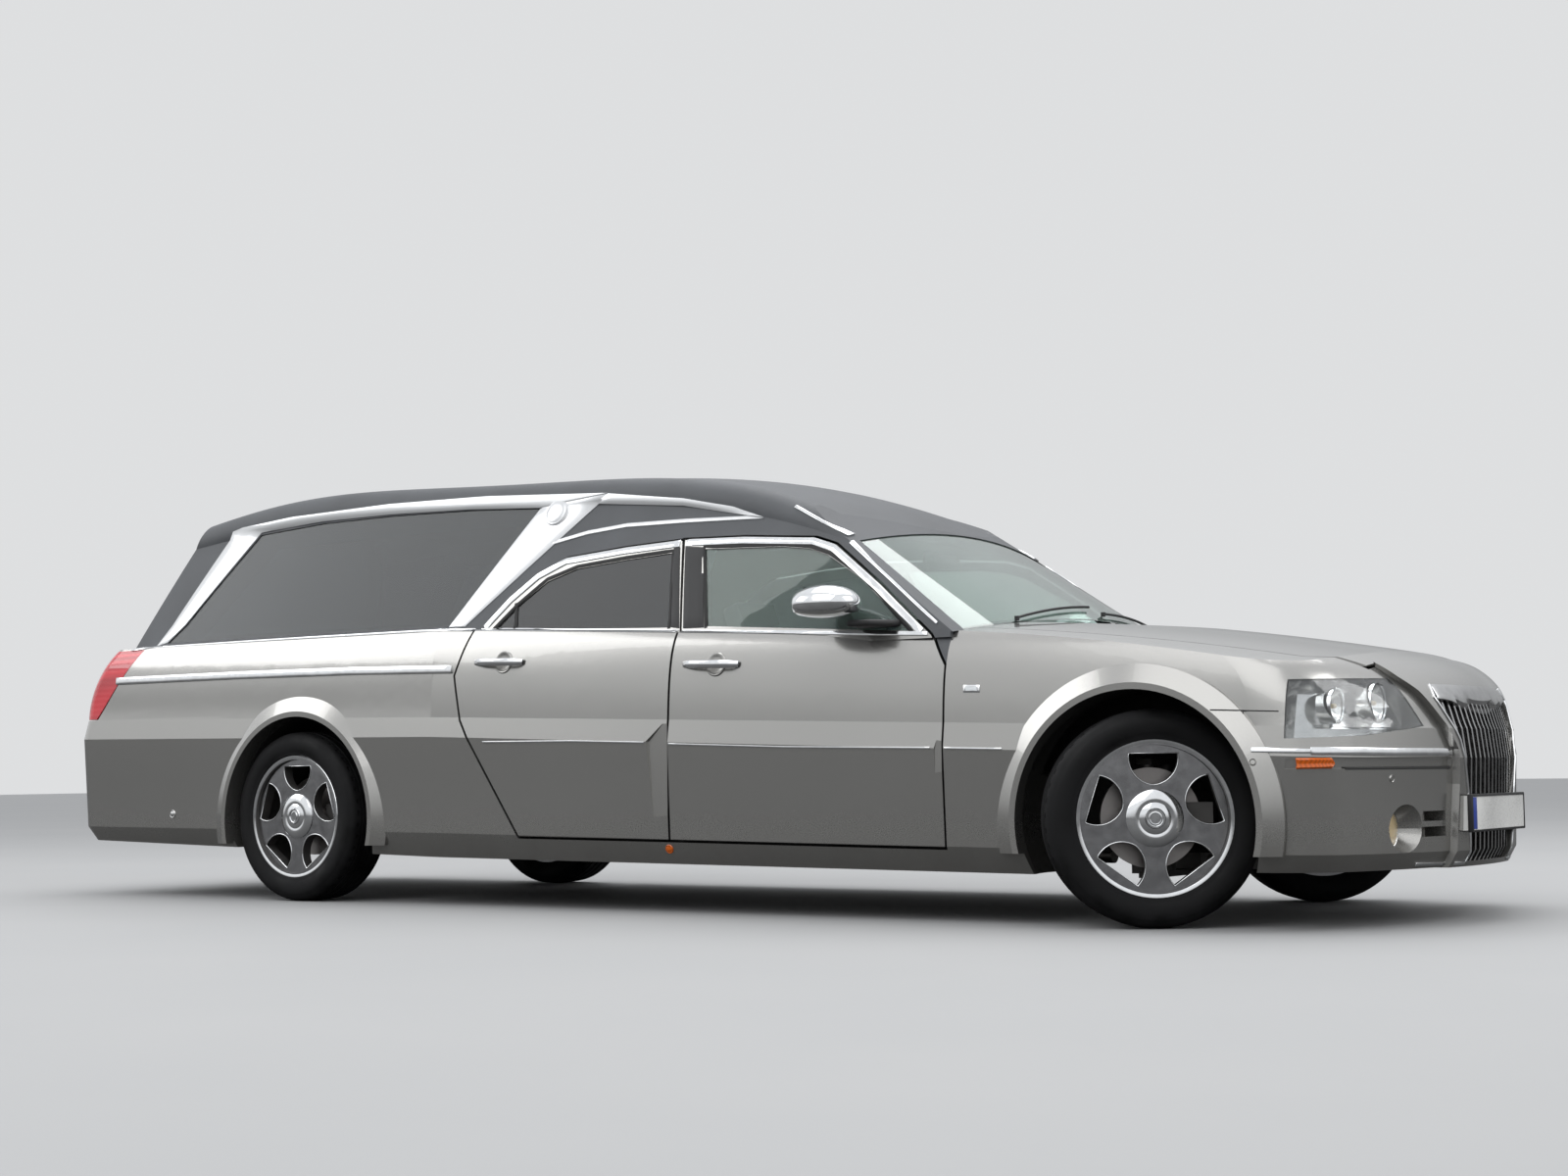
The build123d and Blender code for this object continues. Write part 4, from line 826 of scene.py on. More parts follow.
BELT = {
    "body": ((-2.785, 1.106), (-2.62, 1.113), (-1.71, 1.113), (-1.01, 1.111), (-0.7, 1.1045)),
    "door_rear_right": ((-0.668, 1.1025), (0.0, 1.0695), (0.35, 1.0515)),
    "door_front_right": ((0.372, 1.0505), (1.0, 1.018), (1.468, 0.9945)),
}
SIDE_STRIPS = (
    # name, finish, body, width, rise, path; step where it isn't the usual one
    ("window_frame_door_rear", "bright", "door_rear_right", 0.026, 0.004,
     ((-0.652, 1.112), (-0.548, 1.221), (-0.432, 1.311), (-0.302, 1.366), (-0.008, 1.389),
      (0.262, 1.4))),
    ("window_frame_door_front", "bright", "door_front_right", 0.026, 0.004,
     ((0.292, 1.401), (0.566, 1.392), (0.894, 1.366), (0.99, 1.335), (1.226, 1.17), (1.44, 1.003))),
    ("window_seal_door_front", "seal", "door_front_right", 0.014, 0.0025,
     ((0.478, 1.06), (0.384, 1.38), (0.76, 1.364), (0.884, 1.348), (0.979, 1.316), (1.15, 1.217),
      (1.401, 1.005))),
    ("window_seal_door_rear", "seal", "door_rear_right", 0.014, 0.0025,
     ((0.302, 1.066), (0.238, 1.374), (0.01, 1.361), (-0.236, 1.34), (-0.38, 1.297), (-0.505, 1.201),
      (-0.604, 1.104))),
    ("quarter_bar", "seal", "door_rear_right", 0.016, 0.003, ((-0.515, 1.207), (-0.487, 1.096))),
    ("quarter_strip", "bright", "body", 0.032, 0.009,
     ((-2.835, 0.964), (-2.0, 0.964), (-1.3, 0.958), (-0.748, 0.946))),
    # bright strips along the creases are painted highlights, where light catches the crease edges of the
    # painted body
    ("crease_strip_door_front", "bright", "door_front_right", 0.007, 0.004,
     ((0.372, 0.6295), (0.9, 0.61), (1.508, 0.5975))),
    ("crease_strip_door_rear", "bright", "door_rear_right", 0.007, 0.004,
     ((-0.56, 0.652), (-0.1, 0.648), (0.255, 0.637))),
    ("crease_strip_body", "bright", "body", 0.007, 0.004, ((1.566, 0.596), (1.79, 0.59))),
    ("eaves_strip", "bright", "body", 0.01, 0.005, ((0.776, 1.508), (0.806, 1.494), (1.036, 1.38))),
    ("pillar_strip", "bright", "body", 0.01, 0.004, ((1.06, 1.352), (1.3, 1.178), (1.5, 1.03))),
    ("corner_strip", "bright", "body", 0.014, 0.005,
     ((2.692, 0.573), (2.78, 0.569), (2.866, 0.567)), 0.02),
    ("wing_line", "seal", "body", 0.004, 0.0012, ((2.56, 0.701), (2.7, 0.696), (2.768, 0.693)), 0.03),
    ("repeater_rim", "bright", "body", 0.026, 0.003, ((1.634, 0.797), (1.698, 0.7955)), 0.02),
    ("repeater_lens", "lamp_glass", "body", 0.014, 0.006, ((1.642, 0.797), (1.69, 0.7955)), 0.02),
)
SIDE_SHEETS = (
    # name, finish, body, rise, rows, and the two edges between which the sheet lies
    ("pillar_cover_door_rear", "dark", "door_rear_right", 0.0025, 3,
     ((0.3, 1.072), (0.237, 1.384)), ((0.351, 1.064), (0.266, 1.386))),
    ("pillar_cover_door_front", "dark", "door_front_right", 0.0025, 3,
     ((0.371, 1.063), (0.292, 1.386)), ((0.468, 1.062), (0.384, 1.378))),
    ("band_arch", "band", "body", 0.003, 3,
     ((-0.519, 1.605), (-0.919, 1.63), (-1.382, 1.644), (-1.805, 1.645), (-2.134, 1.628), (-2.207, 1.622),
      (-2.548, 1.213), (-2.64, 1.136)),
     ((-0.159, 1.638), (-0.825, 1.678), (-1.399, 1.689), (-2.006, 1.678), (-2.33, 1.654), (-2.395, 1.64),
      (-2.64, 1.215), (-2.712, 1.122))),
    ("band_slope", "band", "body", 0.003, 3,
     ((-0.5, 1.609), (-0.519, 1.598), (-0.854, 1.124)), ((-0.15, 1.636), (-0.216, 1.59), (-0.765, 1.122))),
    ("band_arm_upper", "band", "body", 0.003, 2,
     ((-0.226, 1.6), (0.236, 1.556), (0.487, 1.505), (0.56, 1.49)),
     ((-0.159, 1.636), (0.236, 1.584), (0.487, 1.532), (0.642, 1.477))),
    ("band_arm_lower", "band", "body", 0.003, 2,
     ((-0.66, 1.235), (-0.5, 1.378), (-0.392, 1.442), (-0.226, 1.471), (-0.03, 1.487), (0.264, 1.483),
      (0.642, 1.472)),
     ((-0.64, 1.262), (-0.5, 1.39), (-0.4, 1.456), (-0.226, 1.487), (-0.03, 1.503), (0.264, 1.499),
      (0.56, 1.488))),
)
DISC = ((0.0005, -0.014), (0.03, -0.0138), (0.046, -0.0125), (0.049, -0.0105), (0.054, -0.0105),
        (0.044, -0.007), (0.054, -0.0066), (0.058, -0.004), (0.059, 0.004), (0.0005, 0.004))
MARKER = ((0.0005, -0.006), (0.008, -0.0055), (0.012, -0.003), (0.013, -0.003), (0.016, -0.004),
          (0.0175, -0.002), (0.0175, 0.004), (0.0005, 0.004))


class HEARSE_OT_side_trim(bpy.types.Operator):
    """Lay the bright strips, the window frames and the pale band along both sides"""
    bl_idname = "hearse.side_trim"
    bl_label = "Side trim"

    def execute(self, context):
        width = context.scene.hearse_sizes.trim_width
        for body, path in BELT.items():
            both(ribbon(path, width, 0.005), "belt_strip_" + body.replace("_right", ""), "bright", body)
        lay_strips("side", SIDE_STRIPS)
        for name, finish, body, rise, rows, inner, outer in SIDE_SHEETS:
            both(patch(inner, outer, rise, rows), name, finish, body)
        both(stud_on("side", -0.419, 1.576, DISC, 48), "side_disc", "band")
        both(stud_on("side", 0.352, 0.24, MARKER), "sill_marker", "amber_lens")
        both(stud_on("side", -2.429, 0.366, MARKER), "rear_marker", "reflector")
        return {"FINISHED"}


BOWL = ((0.0005, -0.0008), (0.018, -0.001), (0.032, -0.0022), (0.038, -0.0046), (0.042, -0.0046),
        (0.045, -0.002), (0.046, 0.004), (0.0005, 0.004))
HANDLES = (("front", 0.552, 0.92), ("rear", -0.497, 0.966))
HANDLE_FALL = -0.03
HANDLE_THICK = 0.007
HANDLE_BAR = (
    # place along the bar, how far it bows out, half its height
    (-0.127, 0.004, 0.012), (-0.085, 0.03, 0.0165), (-0.04, 0.036, 0.0155), (0.0, 0.038, 0.015),
    (0.04, 0.036, 0.0155), (0.085, 0.03, 0.0165), (0.127, 0.004, 0.012),
)
MIRROR = Vector((1.105, -0.965, 1.112))
MIRROR_HALF = (0.135, 0.115, 0.07)
MIRROR_BACK_X = 1.022
MIRROR_LOW_Z = 1.085


def handle_bar(middle, level):
    """A door handle's bar, which bows out from the skin between its two ends."""
    last = len(HANDLE_BAR) - 1

    def place(u, v):
        run, bow, half = HANDLE_BAR[round(u * last)]
        height = level + HANDLE_FALL * run
        y = side_y(middle + run, height) - bow + HANDLE_THICK * math.sin(v * math.tau)
        return (middle + run, y, height + half * math.cos(v * math.tau))

    bar = tidy_normals(grid_piece(last, 12, place))
    modify(bar, "SUBSURF", levels=2, render_levels=2)
    return bar


def mirror_shell():
    """An egg-shaped shell, cut off behind for the glass, with a flatter belly."""
    clear_selection()
    bpy.ops.mesh.primitive_uv_sphere_add(segments=40, ring_count=24, radius=1.0, location=MIRROR)
    shell = bpy.context.object
    shell.scale = MIRROR_HALF
    settle(shell)
    edit(shell)
    bpy.ops.mesh.bisect(plane_co=(MIRROR_BACK_X, MIRROR.y, MIRROR.z), plane_no=(-1.0, 0.0, 0.0),
                        use_fill=True, clear_outer=True)
    close()
    pick_faces(shell, lambda centre, normal: normal.x < -0.9 and centre.x < MIRROR_BACK_X + 0.008)
    bpy.ops.mesh.inset(thickness=0.008, depth=0.0)
    bpy.ops.mesh.inset(thickness=0.002, depth=-0.01)
    close()
    for vert in shell.data.vertices:
        if vert.co.z < MIRROR_LOW_Z:
            vert.co.z = MIRROR_LOW_Z + (vert.co.z - MIRROR_LOW_Z) * 0.55
    modify(shell, "BEVEL", width=0.002, segments=2, limit_method="ANGLE", angle_limit=math.radians(40))
    return shell


def mirror_foot():
    """The wedge that carries the mirror, narrower towards it."""
    door_y = side_y(1.3, 1.02)
    reach = abs(door_y + 0.955)
    bpy.ops.mesh.primitive_cube_add(size=1.0, location=(1.265, (door_y - 0.955) / 2.0 + 0.004, 1.038))
    foot = bpy.context.object
    foot.scale = (0.17, reach + 0.02, 0.026)
    settle(foot)
    pick_faces(foot, lambda centre, normal: normal.y < -0.9)
    bpy.ops.transform.resize(value=(0.55, 1.0, 0.9), center_override=(1.2, 0.0, 1.05))
    close()
    modify(foot, "BEVEL", width=0.009, segments=3)
    return foot


class HEARSE_OT_mirrors(bpy.types.Operator):
    """Model the door mirrors, handles and their bowls"""
    bl_idname = "hearse.mirrors"
    bl_label = "Mirrors and handles"

    def execute(self, context):
        both(mirror_shell(), "mirror_shell", "bright", "door_front_right", 30.0)
        both(mirror_foot(), "mirror_foot", "dark", "door_front_right", 30.0)
        for place, middle, level in HANDLES:
            body = "door_%s_right" % place
            both(handle_bar(middle, level), "handle_" + place, "bright", body, 40.0)
            bowl = stud_on("side", middle + 0.022, level - 0.001, BOWL, 40)
            both(bowl, "handle_bowl_" + place, "paint", body)
        return {"FINISHED"}


AHEAD = (1.0, 0.0, 0.0)
REFLECTORS = (
    # name, middle of the bowl's mouth on the right side, radius
    ("main", (2.921, -0.575, 0.718), 0.062),
    ("side", (2.856, -0.742, 0.708), 0.054),
)
BULB = ((0.0005, -0.044), (0.005, -0.0425), (0.008, -0.037), (0.008, -0.014), (0.012, -0.012),
        (0.012, 0.001), (0.0005, 0.002))
FOG = (2.9885, -0.542, 0.317)
FOG_LENS = ((0.0005, -0.01), (0.02, -0.0094), (0.04, -0.0068), (0.05, -0.0035), (0.0535, -0.0008),
            (0.0535, 0.0008), (0.0005, 0.0008))
FOG_RIM = ((0.0525, 0.0), (0.0535, -0.004), (0.057, -0.0045), (0.0575, 0.0))


class HEARSE_OT_lamps(bpy.types.Operator):
    """Fill the headlamps and the fog lamps with reflectors, rings, bulbs and lenses"""
    bl_idname = "hearse.lamps"
    bl_label = "Lamps"

    def execute(self, context):
        for name, place, radius in REFLECTORS:
            deep = radius * 0.8
            curve = [(max(0.0005, radius * k / 8.0), -deep * (k / 8.0) ** 2) for k in range(9)]
            curve += [(radius + 0.002, -deep), (radius + 0.002, 0.003), (0.0005, 0.003)]
            both(stud(curve, 48, place, AHEAD), "lamp_bowl_" + name, "reflector", angle=60.0)
            ring = [(radius - 0.004, -deep), (radius - 0.001, -deep - 0.004),
                    (radius + 0.0035, -deep - 0.004), (radius + 0.0035, -deep + 0.006),
                    (radius - 0.004, -deep + 0.004)]
            both(stud(ring, 48, place, AHEAD), "lamp_ring_" + name, "bright")
            both(stud(BULB, 24, place, AHEAD), "lamp_bulb_" + name, "warm_lens", angle=50.0)
        both(stud(FOG_LENS, 48, FOG, AHEAD), "fog_lens", "warm_lens", angle=50.0)
        both(turned_ring(FOG_RIM, 48, FOG, math.pi / 2.0), "fog_rim", "bright")
        coat_zones(nodes["headlamp_units"], ("dark_chrome", "reflector"),
                   lambda centre, normal: 1 if abs(normal.x) < 0.3 else 0)
        return {"FINISHED"}


SENSOR = ((0.0005, -0.0022), (0.007, -0.0022), (0.0085, -0.0006), (0.0105, -0.0024), (0.012, -0.0004),
          (0.012, 0.003), (0.0005, 0.003))
FRONT_STRIPS = (
    # name, finish, body, width, rise, path as (across, height); step and depth in the skin where they
    # aren't the usual ones
    # thin bright strips paint the glint of light on the nose panel's inner edges beside the grille; the
    # panel itself is painted
    ("grille_edge", "bright", "body", 0.009, 0.004,
     ((-0.206, 0.206), (-0.228, 0.42), (-0.268, 0.6), (-0.35, 0.738), (-0.338, 0.78)), 0.03, 0.004),
    ("shelf_strip", "bright", "body", 0.024, 0.008,
     ((-0.862, 0.567), (-0.6, 0.562), (-0.292, 0.56)), 0.03),
    ("nose_foot_strip", "bright", "body", 0.01, 0.004,
     ((-0.46, 0.204), (-0.3, 0.201), (-0.212, 0.2)), 0.03),
    # a thin dark strip paints the shadow in the groove under the shelf
    ("shelf_line", "seal", "body", 0.006, 0.0015,
     ((-0.78, 0.511), (-0.5, 0.51), (-0.3, 0.509)), 0.03),
)
INDICATOR_X = (2.812, 2.86, 2.904)
INDICATOR_Z = (0.506, 0.553)
GRILLE_ARC = 3.4
RIB_REACH = 0.36
TOP_REACH = 0.385
TOP_HALF = 0.33
TOP_Z = 0.778


def grille_bow(reach, y):
    """How far the grille's bowed front stands ahead at y of its place at reach."""
    return (reach ** 2 - y ** 2) / GRILLE_ARC


def grille_zone(centre, normal):
    """The ribs' front parts are plated; all behind them is dark."""
    proud = look("front", -RIB_REACH, max(0.25, centre.z))[0].x
    return 1 if centre.x > proud + grille_bow(RIB_REACH, centre.y) - 0.04 else 0


def grille_top(u, v):
    """A point of the piece above the ribs, whose lower edge arches down in its middle."""
    y = TOP_HALF * (2.0 * u - 1.0)
    low = 0.73 - 0.045 * math.cos(math.pi * y / 0.68) ** 2
    z = low + (TOP_Z - low) * v
    edge = look("front", -TOP_REACH, z)[0].x
    return (edge + grille_bow(TOP_REACH, y) - 0.01 - 0.004 * v, y, z)


def plate_holder(name, near, far, low, high, inward):
    """A shallow tray for a number plate; its face at far is let in by inward."""
    start, end = sorted((near, far))
    holder = rounded_box((start, -0.266, low), (end, 0.266, high), 0.003, 2)
    ahead = 1.0 if far > near else -1.0
    sink(holder, lambda centre, normal: normal.x * ahead > 0.99, 0.005, (inward, 0.0, 0.0))
    finish_piece(holder, name, "dark", angle=30.0)


class HEARSE_OT_nose(bpy.types.Operator):
    """Dress the nose: grille finish, its top piece, painted glints along its edges, shelf strip, indicators,
    plate and sensors
    """
    bl_idname = "hearse.nose"
    bl_label = "Nose"

    def execute(self, context):
        coat_zones(nodes["grille"], ("dark", "dark_chrome"), grille_zone)
        top = thicken(grid_piece(24, 4, grille_top), "front", 0.012, 0.003)
        finish_piece(top, "grille_top", "dark_chrome", angle=40.0)
        lay_strips("front", FRONT_STRIPS)
        low_edge, high_edge = ([(x, z) for x in INDICATOR_X] for z in INDICATOR_Z)
        both(patch(low_edge, high_edge, 0.012, 3, 0.016), "nose_indicator", "amber_lens")
        # flat dark sheets on the vents' painted floors paint the shadow inside the vent openings
        for place, low in (("upper", 0.344), ("lower", 0.294)):
            mesh = patch(((-0.452, low), (-0.398, low)), ((-0.45, low + 0.024), (-0.396, low + 0.024)),
                         0.002, 2, 0.001, "front")
            both(mesh, "vent_shadow_patch_" + place, "dark")
        both(stud_on("front", -0.6, 0.478, SENSOR, 24), "nose_sensor", "paint")
        both(stud_on("side", 2.7, 0.535, SENSOR, 24), "corner_sensor", "paint")
        plate_holder("plate_holder_front", 3.1445, 3.1625, 0.299, 0.423, -0.0035)
        band = rounded_box((3.1585, -0.256, 0.309), (3.1608, -0.218, 0.413), 0.0008, 2)
        finish_piece(band, "plate_band_front", "plate_blue", angle=30.0)
        return {"FINISHED"}


REAR_STRIPS = (
    # name, finish, body, width, rise, path as (across, height); step and depth in the skin where they
    # aren't the usual ones
    ("gate_garnish", "bright", "tailgate_lid", 0.036, 0.01,
     ((-0.43, 0.93), (0.0, 0.934), (0.43, 0.93)), 0.05, 0.004),
    ("gate_handle", "dark", "tailgate_lid", 0.02, 0.012, ((-0.13, 0.893), (0.13, 0.893)), 0.03, 0.004),
    ("high_brake_lamp", "red_lens", "tailgate_lid", 0.02, 0.008,
     ((-0.17, 1.655), (0.17, 1.655)), 0.03, 0.004),
    ("gate_seal", "seal", "tailgate_lid", 0.016, 0.003,
     ((-0.612, 1.172), (-0.5, 1.545), (-0.404, 1.636), (0.0, 1.64)), 0.04, 0.002),
    ("gate_seal_low", "seal", "tailgate_lid", 0.016, 0.003, ((-0.612, 1.166), (0.612, 1.166)), 0.05, 0.002),
    ("rear_reflector", "red_lens", "body", 0.03, 0.005, ((-0.74, 0.4), (-0.52, 0.4)), 0.03),
    ("sill_strip", "bright", "body", 0.012, 0.003, ((-0.64, 0.806), (0.64, 0.806)), 0.05, 0.004),
    ("tail_strip", "bright", "body", 0.01, 0.005, ((-0.8, 0.705), (-0.3, 0.703))),
)
EXHAUST_TIP = ((0.033, 0.0), (0.0335, -0.09), (0.036, -0.092), (0.0385, -0.088), (0.0375, 0.0))


class HEARSE_OT_tail(bpy.types.Operator):
    """Dress the tail: window seal, garnish, brake lamp, reflectors, plate holder and exhaust tip"""
    bl_idname = "hearse.tail"
    bl_label = "Tail"

    def execute(self, context):
        lay_strips("rear", REAR_STRIPS)
        plate_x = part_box("number_plates")[0][0]
        plate_holder("plate_holder_rear", plate_x + 0.012, plate_x - 0.0012, 0.478, 0.602, 0.0035)
        pipe_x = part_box("exhaust")[0][0]
        tip = turned_ring(EXHAUST_TIP, 40, (pipe_x + 0.085, 0.42, 0.1997), -math.pi / 2.0)
        finish_piece(tip, "exhaust_tip", "bright", angle=40.0)
        return {"FINISHED"}


# Cabin: the seats stand where the solid seats do

FRONT_SEAT_X = 0.54
BENCH_X = -0.59
FLOOR_Z = 0.29
BACK_LEAN = -math.atan2(0.57, -0.21)
SEATS = (
    # name, place along the car, across, and width
    ("driver", FRONT_SEAT_X, -0.395, 0.5),
    ("front_left", FRONT_SEAT_X, 0.395, 0.5),
    ("bench_right", BENCH_X, -0.385, 0.38),
    ("bench_middle", BENCH_X, 0.0, 0.38),
    ("bench_left", BENCH_X, 0.385, 0.38),
)
PAD_WIDTH = 0.46
PAD_VOXEL = 0.0085
PUFF_FRAMES = 20


def pad_block(half_x, half_y, half_z, bolster):
    """A seat pad's closed form lying flat: a crowned middle between two raised sides."""
    clear_selection()
    bpy.ops.mesh.primitive_cube_add(size=2.0, location=(0.0, 0.0, 0.0))
    obj = bpy.context.object
    obj.scale = (half_x, half_y, half_z)
    settle(obj)
    edit(obj)
    bpy.ops.mesh.subdivide(number_cuts=9)
    close()
    for vert in obj.data.vertices:
        across = abs(vert.co.y) / half_y
        along = abs(vert.co.x) / half_x
        if vert.co.z > 0.0:
            vert.co.z += bolster * max(0.0, (across - 0.6) / 0.4) * (1.0 - 0.35 * along ** 4)
            vert.co.z -= half_z * 0.22 * along ** 6
    modify(obj, "BEVEL", width=min(half_z, half_x) * 0.35, segments=3, limit_method="ANGLE",
           angle_limit=math.radians(50.0))
    return obj


def stuffed(obj, seams, cap):
    """Blows a pad up with its seams held, and keeps any point from moving further than a cap."""
    modify(obj, "REMESH", mode="VOXEL", voxel_size=PAD_VOXEL)
    before = [vert.co.copy() for vert in obj.data.vertices]
    held = obj.vertex_groups.new(name="seams")
    held.add([vert.index for vert in obj.data.vertices if seams(vert.co)], 1.0, "REPLACE")
    focus(obj)
    cloth = obj.modifiers.new("cloth", "CLOTH")
    cloth.settings.quality = 4
    cloth.settings.use_pressure = True
    cloth.settings.uniform_pressure_force = 4.0
    cloth.settings.effector_weights.gravity = 0.0
    cloth.settings.vertex_group_mass = "seams"
    cloth.collision_settings.use_self_collision = False
    for step in range(1, PUFF_FRAMES + 1):
        bpy.context.scene.frame_set(step)
    bpy.ops.object.modifier_apply(modifier=cloth.name)
    for vert, start in zip(obj.data.vertices, before):
        way = vert.co - start
        if way.length > cap:
            vert.co = start + way.normalized() * cap
    bpy.context.scene.frame_set(1)
    return obj


def sewn(pitch, half_y, half_z):
    """A test for the seams of a pad: cross channels on top, the bolsters' edges and the piping."""
    def held(point):
        top = point.z > half_z * 0.35
        middle = abs(point.y) < half_y * 0.6
        channel = abs((point.x / pitch) % 1.0 - 0.5) * pitch < 0.005 and middle
        bolster = abs(abs(point.y) - half_y * 0.6) < 0.005
        return (top and (channel or bolster)) or (not top and abs(point.z) < 0.004)
    return held


class HEARSE_OT_seats(bpy.types.Operator):
    """Pad the seats: sewn cushions, backrests and head rests in place of the plain ones"""
    bl_idname = "hearse.seats"
    bl_label = "Seats"

    def execute(self, context):
        cushion = stuffed(pad_block(0.225, 0.225, 0.05, 0.022), sewn(0.075, 0.225, 0.05), 0.014)
        back = stuffed(pad_block(0.27, 0.225, 0.038, 0.024), sewn(0.08, 0.225, 0.038), 0.012)
        rest = pad_block(0.075, 0.12, 0.04, 0.0)
        for pad in (cushion, back, rest):
            modify(pad, "SUBSURF", levels=1, render_levels=1)
        bases = []
        for name, x, y, width in SEATS:
            wide = width / PAD_WIDTH
            for kind, pad, place, turn, size in (
                    ("seat_cushion_", cushion, (x + 0.265, y, 0.428), math.radians(-3.0), wide),
                    ("seat_back_", back, (x - 0.01, y, 0.735), BACK_LEAN, wide),
                    ("head_rest_", rest, (x - 0.165, y, 1.095), BACK_LEAN, 1.0)):
                placed(pad, kind + name, "leather", "body", place, (0.0, turn, 0.0),
                                 (1.0, size, 1.0), 60.0)
            half = width / 2.0 - 0.03
            base = rounded_box((x - 0.02, y - half, FLOOR_Z), (x + 0.46, y + half, 0.385), 0.02)
            bases.append(finish_piece(base, "seat_base_" + name, "dark", angle=30.0))
            for post_name, side in (("_a", -0.055), ("_b", 0.055)):
                post = rounded_box((x - 0.15, y + side - 0.006, 0.985),
                                   (x - 0.138, y + side + 0.006, 1.06), 0.004)
                finish_piece(post, "rest_post_" + name + post_name, "bright", angle=30.0)
        for base in bases:
            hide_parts("rear_seat" if "bench" in base.name else "front_seats")
        discard(cushion, back, rest)
        return {"FINISHED"}


DIAL = ((0.0005, -0.004), (0.034, -0.004), (0.037, -0.008), (0.042, -0.008), (0.043, 0.0), (0.0005, 0.0))
DOOR_LININGS = (
    # place, start and end of the arm rest along the car, its height
    ("front", 0.52, 1.18, 0.7),
    ("rear", -0.3, 0.23, 0.72),
)


def faces_back(centre, normal):
    """Faces that look towards the car's tail."""
    return normal.x < -0.9


def faces_up(centre, normal):
    """Faces that look straight up."""
    return normal.z > 0.99


def roof_zone(centre, normal):
    """The roof's inner faces have a cloth lining."""
    inward = normal.z < -0.35 or (normal.y * centre.y < 0.0 and abs(normal.y) > 0.3)
    return 1 if inward and abs(centre.y) < 0.84 else 0


def door_zone(centre, normal):
    """A door's inner face is lined and its edges are dark; the rest is painted."""
    if normal.y * centre.y < 0.0 and abs(normal.y) > 0.5:
        return 1
    return 2 if abs(normal.y) < 0.45 and abs(centre.y) < 0.915 and centre.z < 1.05 else 0


class HEARSE_OT_cabin(bpy.types.Operator):
    """Fit the dashboard's hood, dials and panel, the mirror and the linings of doors and roof"""
    bl_idname = "hearse.cabin"
    bl_label = "Cabin"

    def execute(self, context):
        hood = rounded_box((1.15, -0.56, 0.935), (1.38, -0.18, 1.0), 0.03, 4)
        sink(hood, faces_back, 0.01, (0.02, 0.0, 0.0))
        finish_piece(hood, "dash_hood", "leather", angle=40.0)
        for k in range(3):
            dial = stud(DIAL, 32, (1.176, -0.47 + 0.1 * k, 0.968), (-1.0, 0.0, 0.0))
            dial.scale = (0.62, 1.0, 0.62)
            finish_piece(dial, "dash_dial_%d" % (k + 1), "bright", angle=30.0)
        panel = rounded_box((1.178, -0.105, 0.7), (1.192, 0.105, 0.9), 0.006, 2)
        sink(panel, faces_back, 0.012, (0.004, 0.0, 0.0))
        finish_piece(panel, "dash_panel", "dark", angle=30.0)
        mirror = rounded_box((0.985, -0.125, 1.3), (1.012, 0.125, 1.362), 0.012)
        finish_piece(mirror, "inner_mirror", "dark", angle=30.0)
        for place, start, end, z in DOOR_LININGS:
            body = "door_%s_right" % place
            card = rounded_box((start - 0.06, -0.874, z - 0.34), (end + 0.06, -0.852, z + 0.23), 0.01)
            both(card, "door_card_" + place, "leather", body)
            arm = rounded_box((start, -0.862, z - 0.03), (end, -0.8, z + 0.025), 0.022, 4)
            sink(arm, faces_up, 0.008, (0.0, 0.0, 0.006))
            both(arm, "arm_rest_" + place, "leather", body, 40.0)
            pull = rounded_box((start + 0.08, -0.854, z + 0.102), (start + 0.2, -0.838, z + 0.126), 0.0056)
            both(pull, "inner_handle_" + place, "bright", body)
        coat_zones(nodes["bonnet"], ("paint", "dark"), lambda centre, normal: 1 if normal.z < -0.2 else 0)
        coat_zones(nodes["roof"], ("cover", "cloth"), roof_zone)
        for name in DOOR_PANELS:
            coat_zones(nodes[name], ("paint", "leather", "seal"), door_zone)
        return {"FINISHED"}


LININGS = (
    # name, and the two edges between which the sheet lies
    ("lining_low", ((-0.905, 1.139), (-1.6, 1.147), (-2.425, 1.156)),
     ((-0.862, 1.105), (-1.6, 1.11), (-2.56, 1.118))),
    ("lining_back", ((-2.425, 1.156), (-2.085, 1.537)), ((-2.6, 1.118), (-2.19, 1.64))),
    ("lining_top", ((-2.085, 1.537), (-1.3, 1.542), (-0.6, 1.536)),
     ((-2.19, 1.64), (-1.3, 1.66), (-0.52, 1.62))),
)
BEHIND_GLASS = 0.036
ROLLER = ((0.006, -0.15), (0.0155, -0.15), (0.0175, -0.146), (0.0175, 0.146), (0.0155, 0.15),
          (0.006, 0.15))


class HEARSE_OT_load_space(bpy.types.Operator):
    """Line the load space and lay the rails and rollers on its deck"""
    bl_idname = "hearse.load_space"
    bl_label = "Load space"

    def execute(self, context):
        for name, inner, outer in LININGS:
            both(sheet(inner, outer, 0.006, 0.0018, 2, BEHIND_GLASS, step=0.08), name, "cloth", angle=40.0)
        for side, y in (("right", -0.24), ("left", 0.24)):
            rail = rounded_box((-2.8, y - 0.016, 0.8262), (-1.05, y + 0.016, 0.842), 0.004, 2)
            sink(rail, faces_up, 0.006, (0.0, 0.0, -0.006))
            finish_piece(rail, "bier_rail_" + side, "bright", angle=30.0)
        roller = turned_ring(ROLLER, 24)
        for k in range(7):
            placed(roller, "bier_roller_%d" % (k + 1), "rubber", "body", (-2.64 + 0.245 * k, 0.0, 0.8442))
        discard(roller)
        return {"FINISHED"}


# Stage

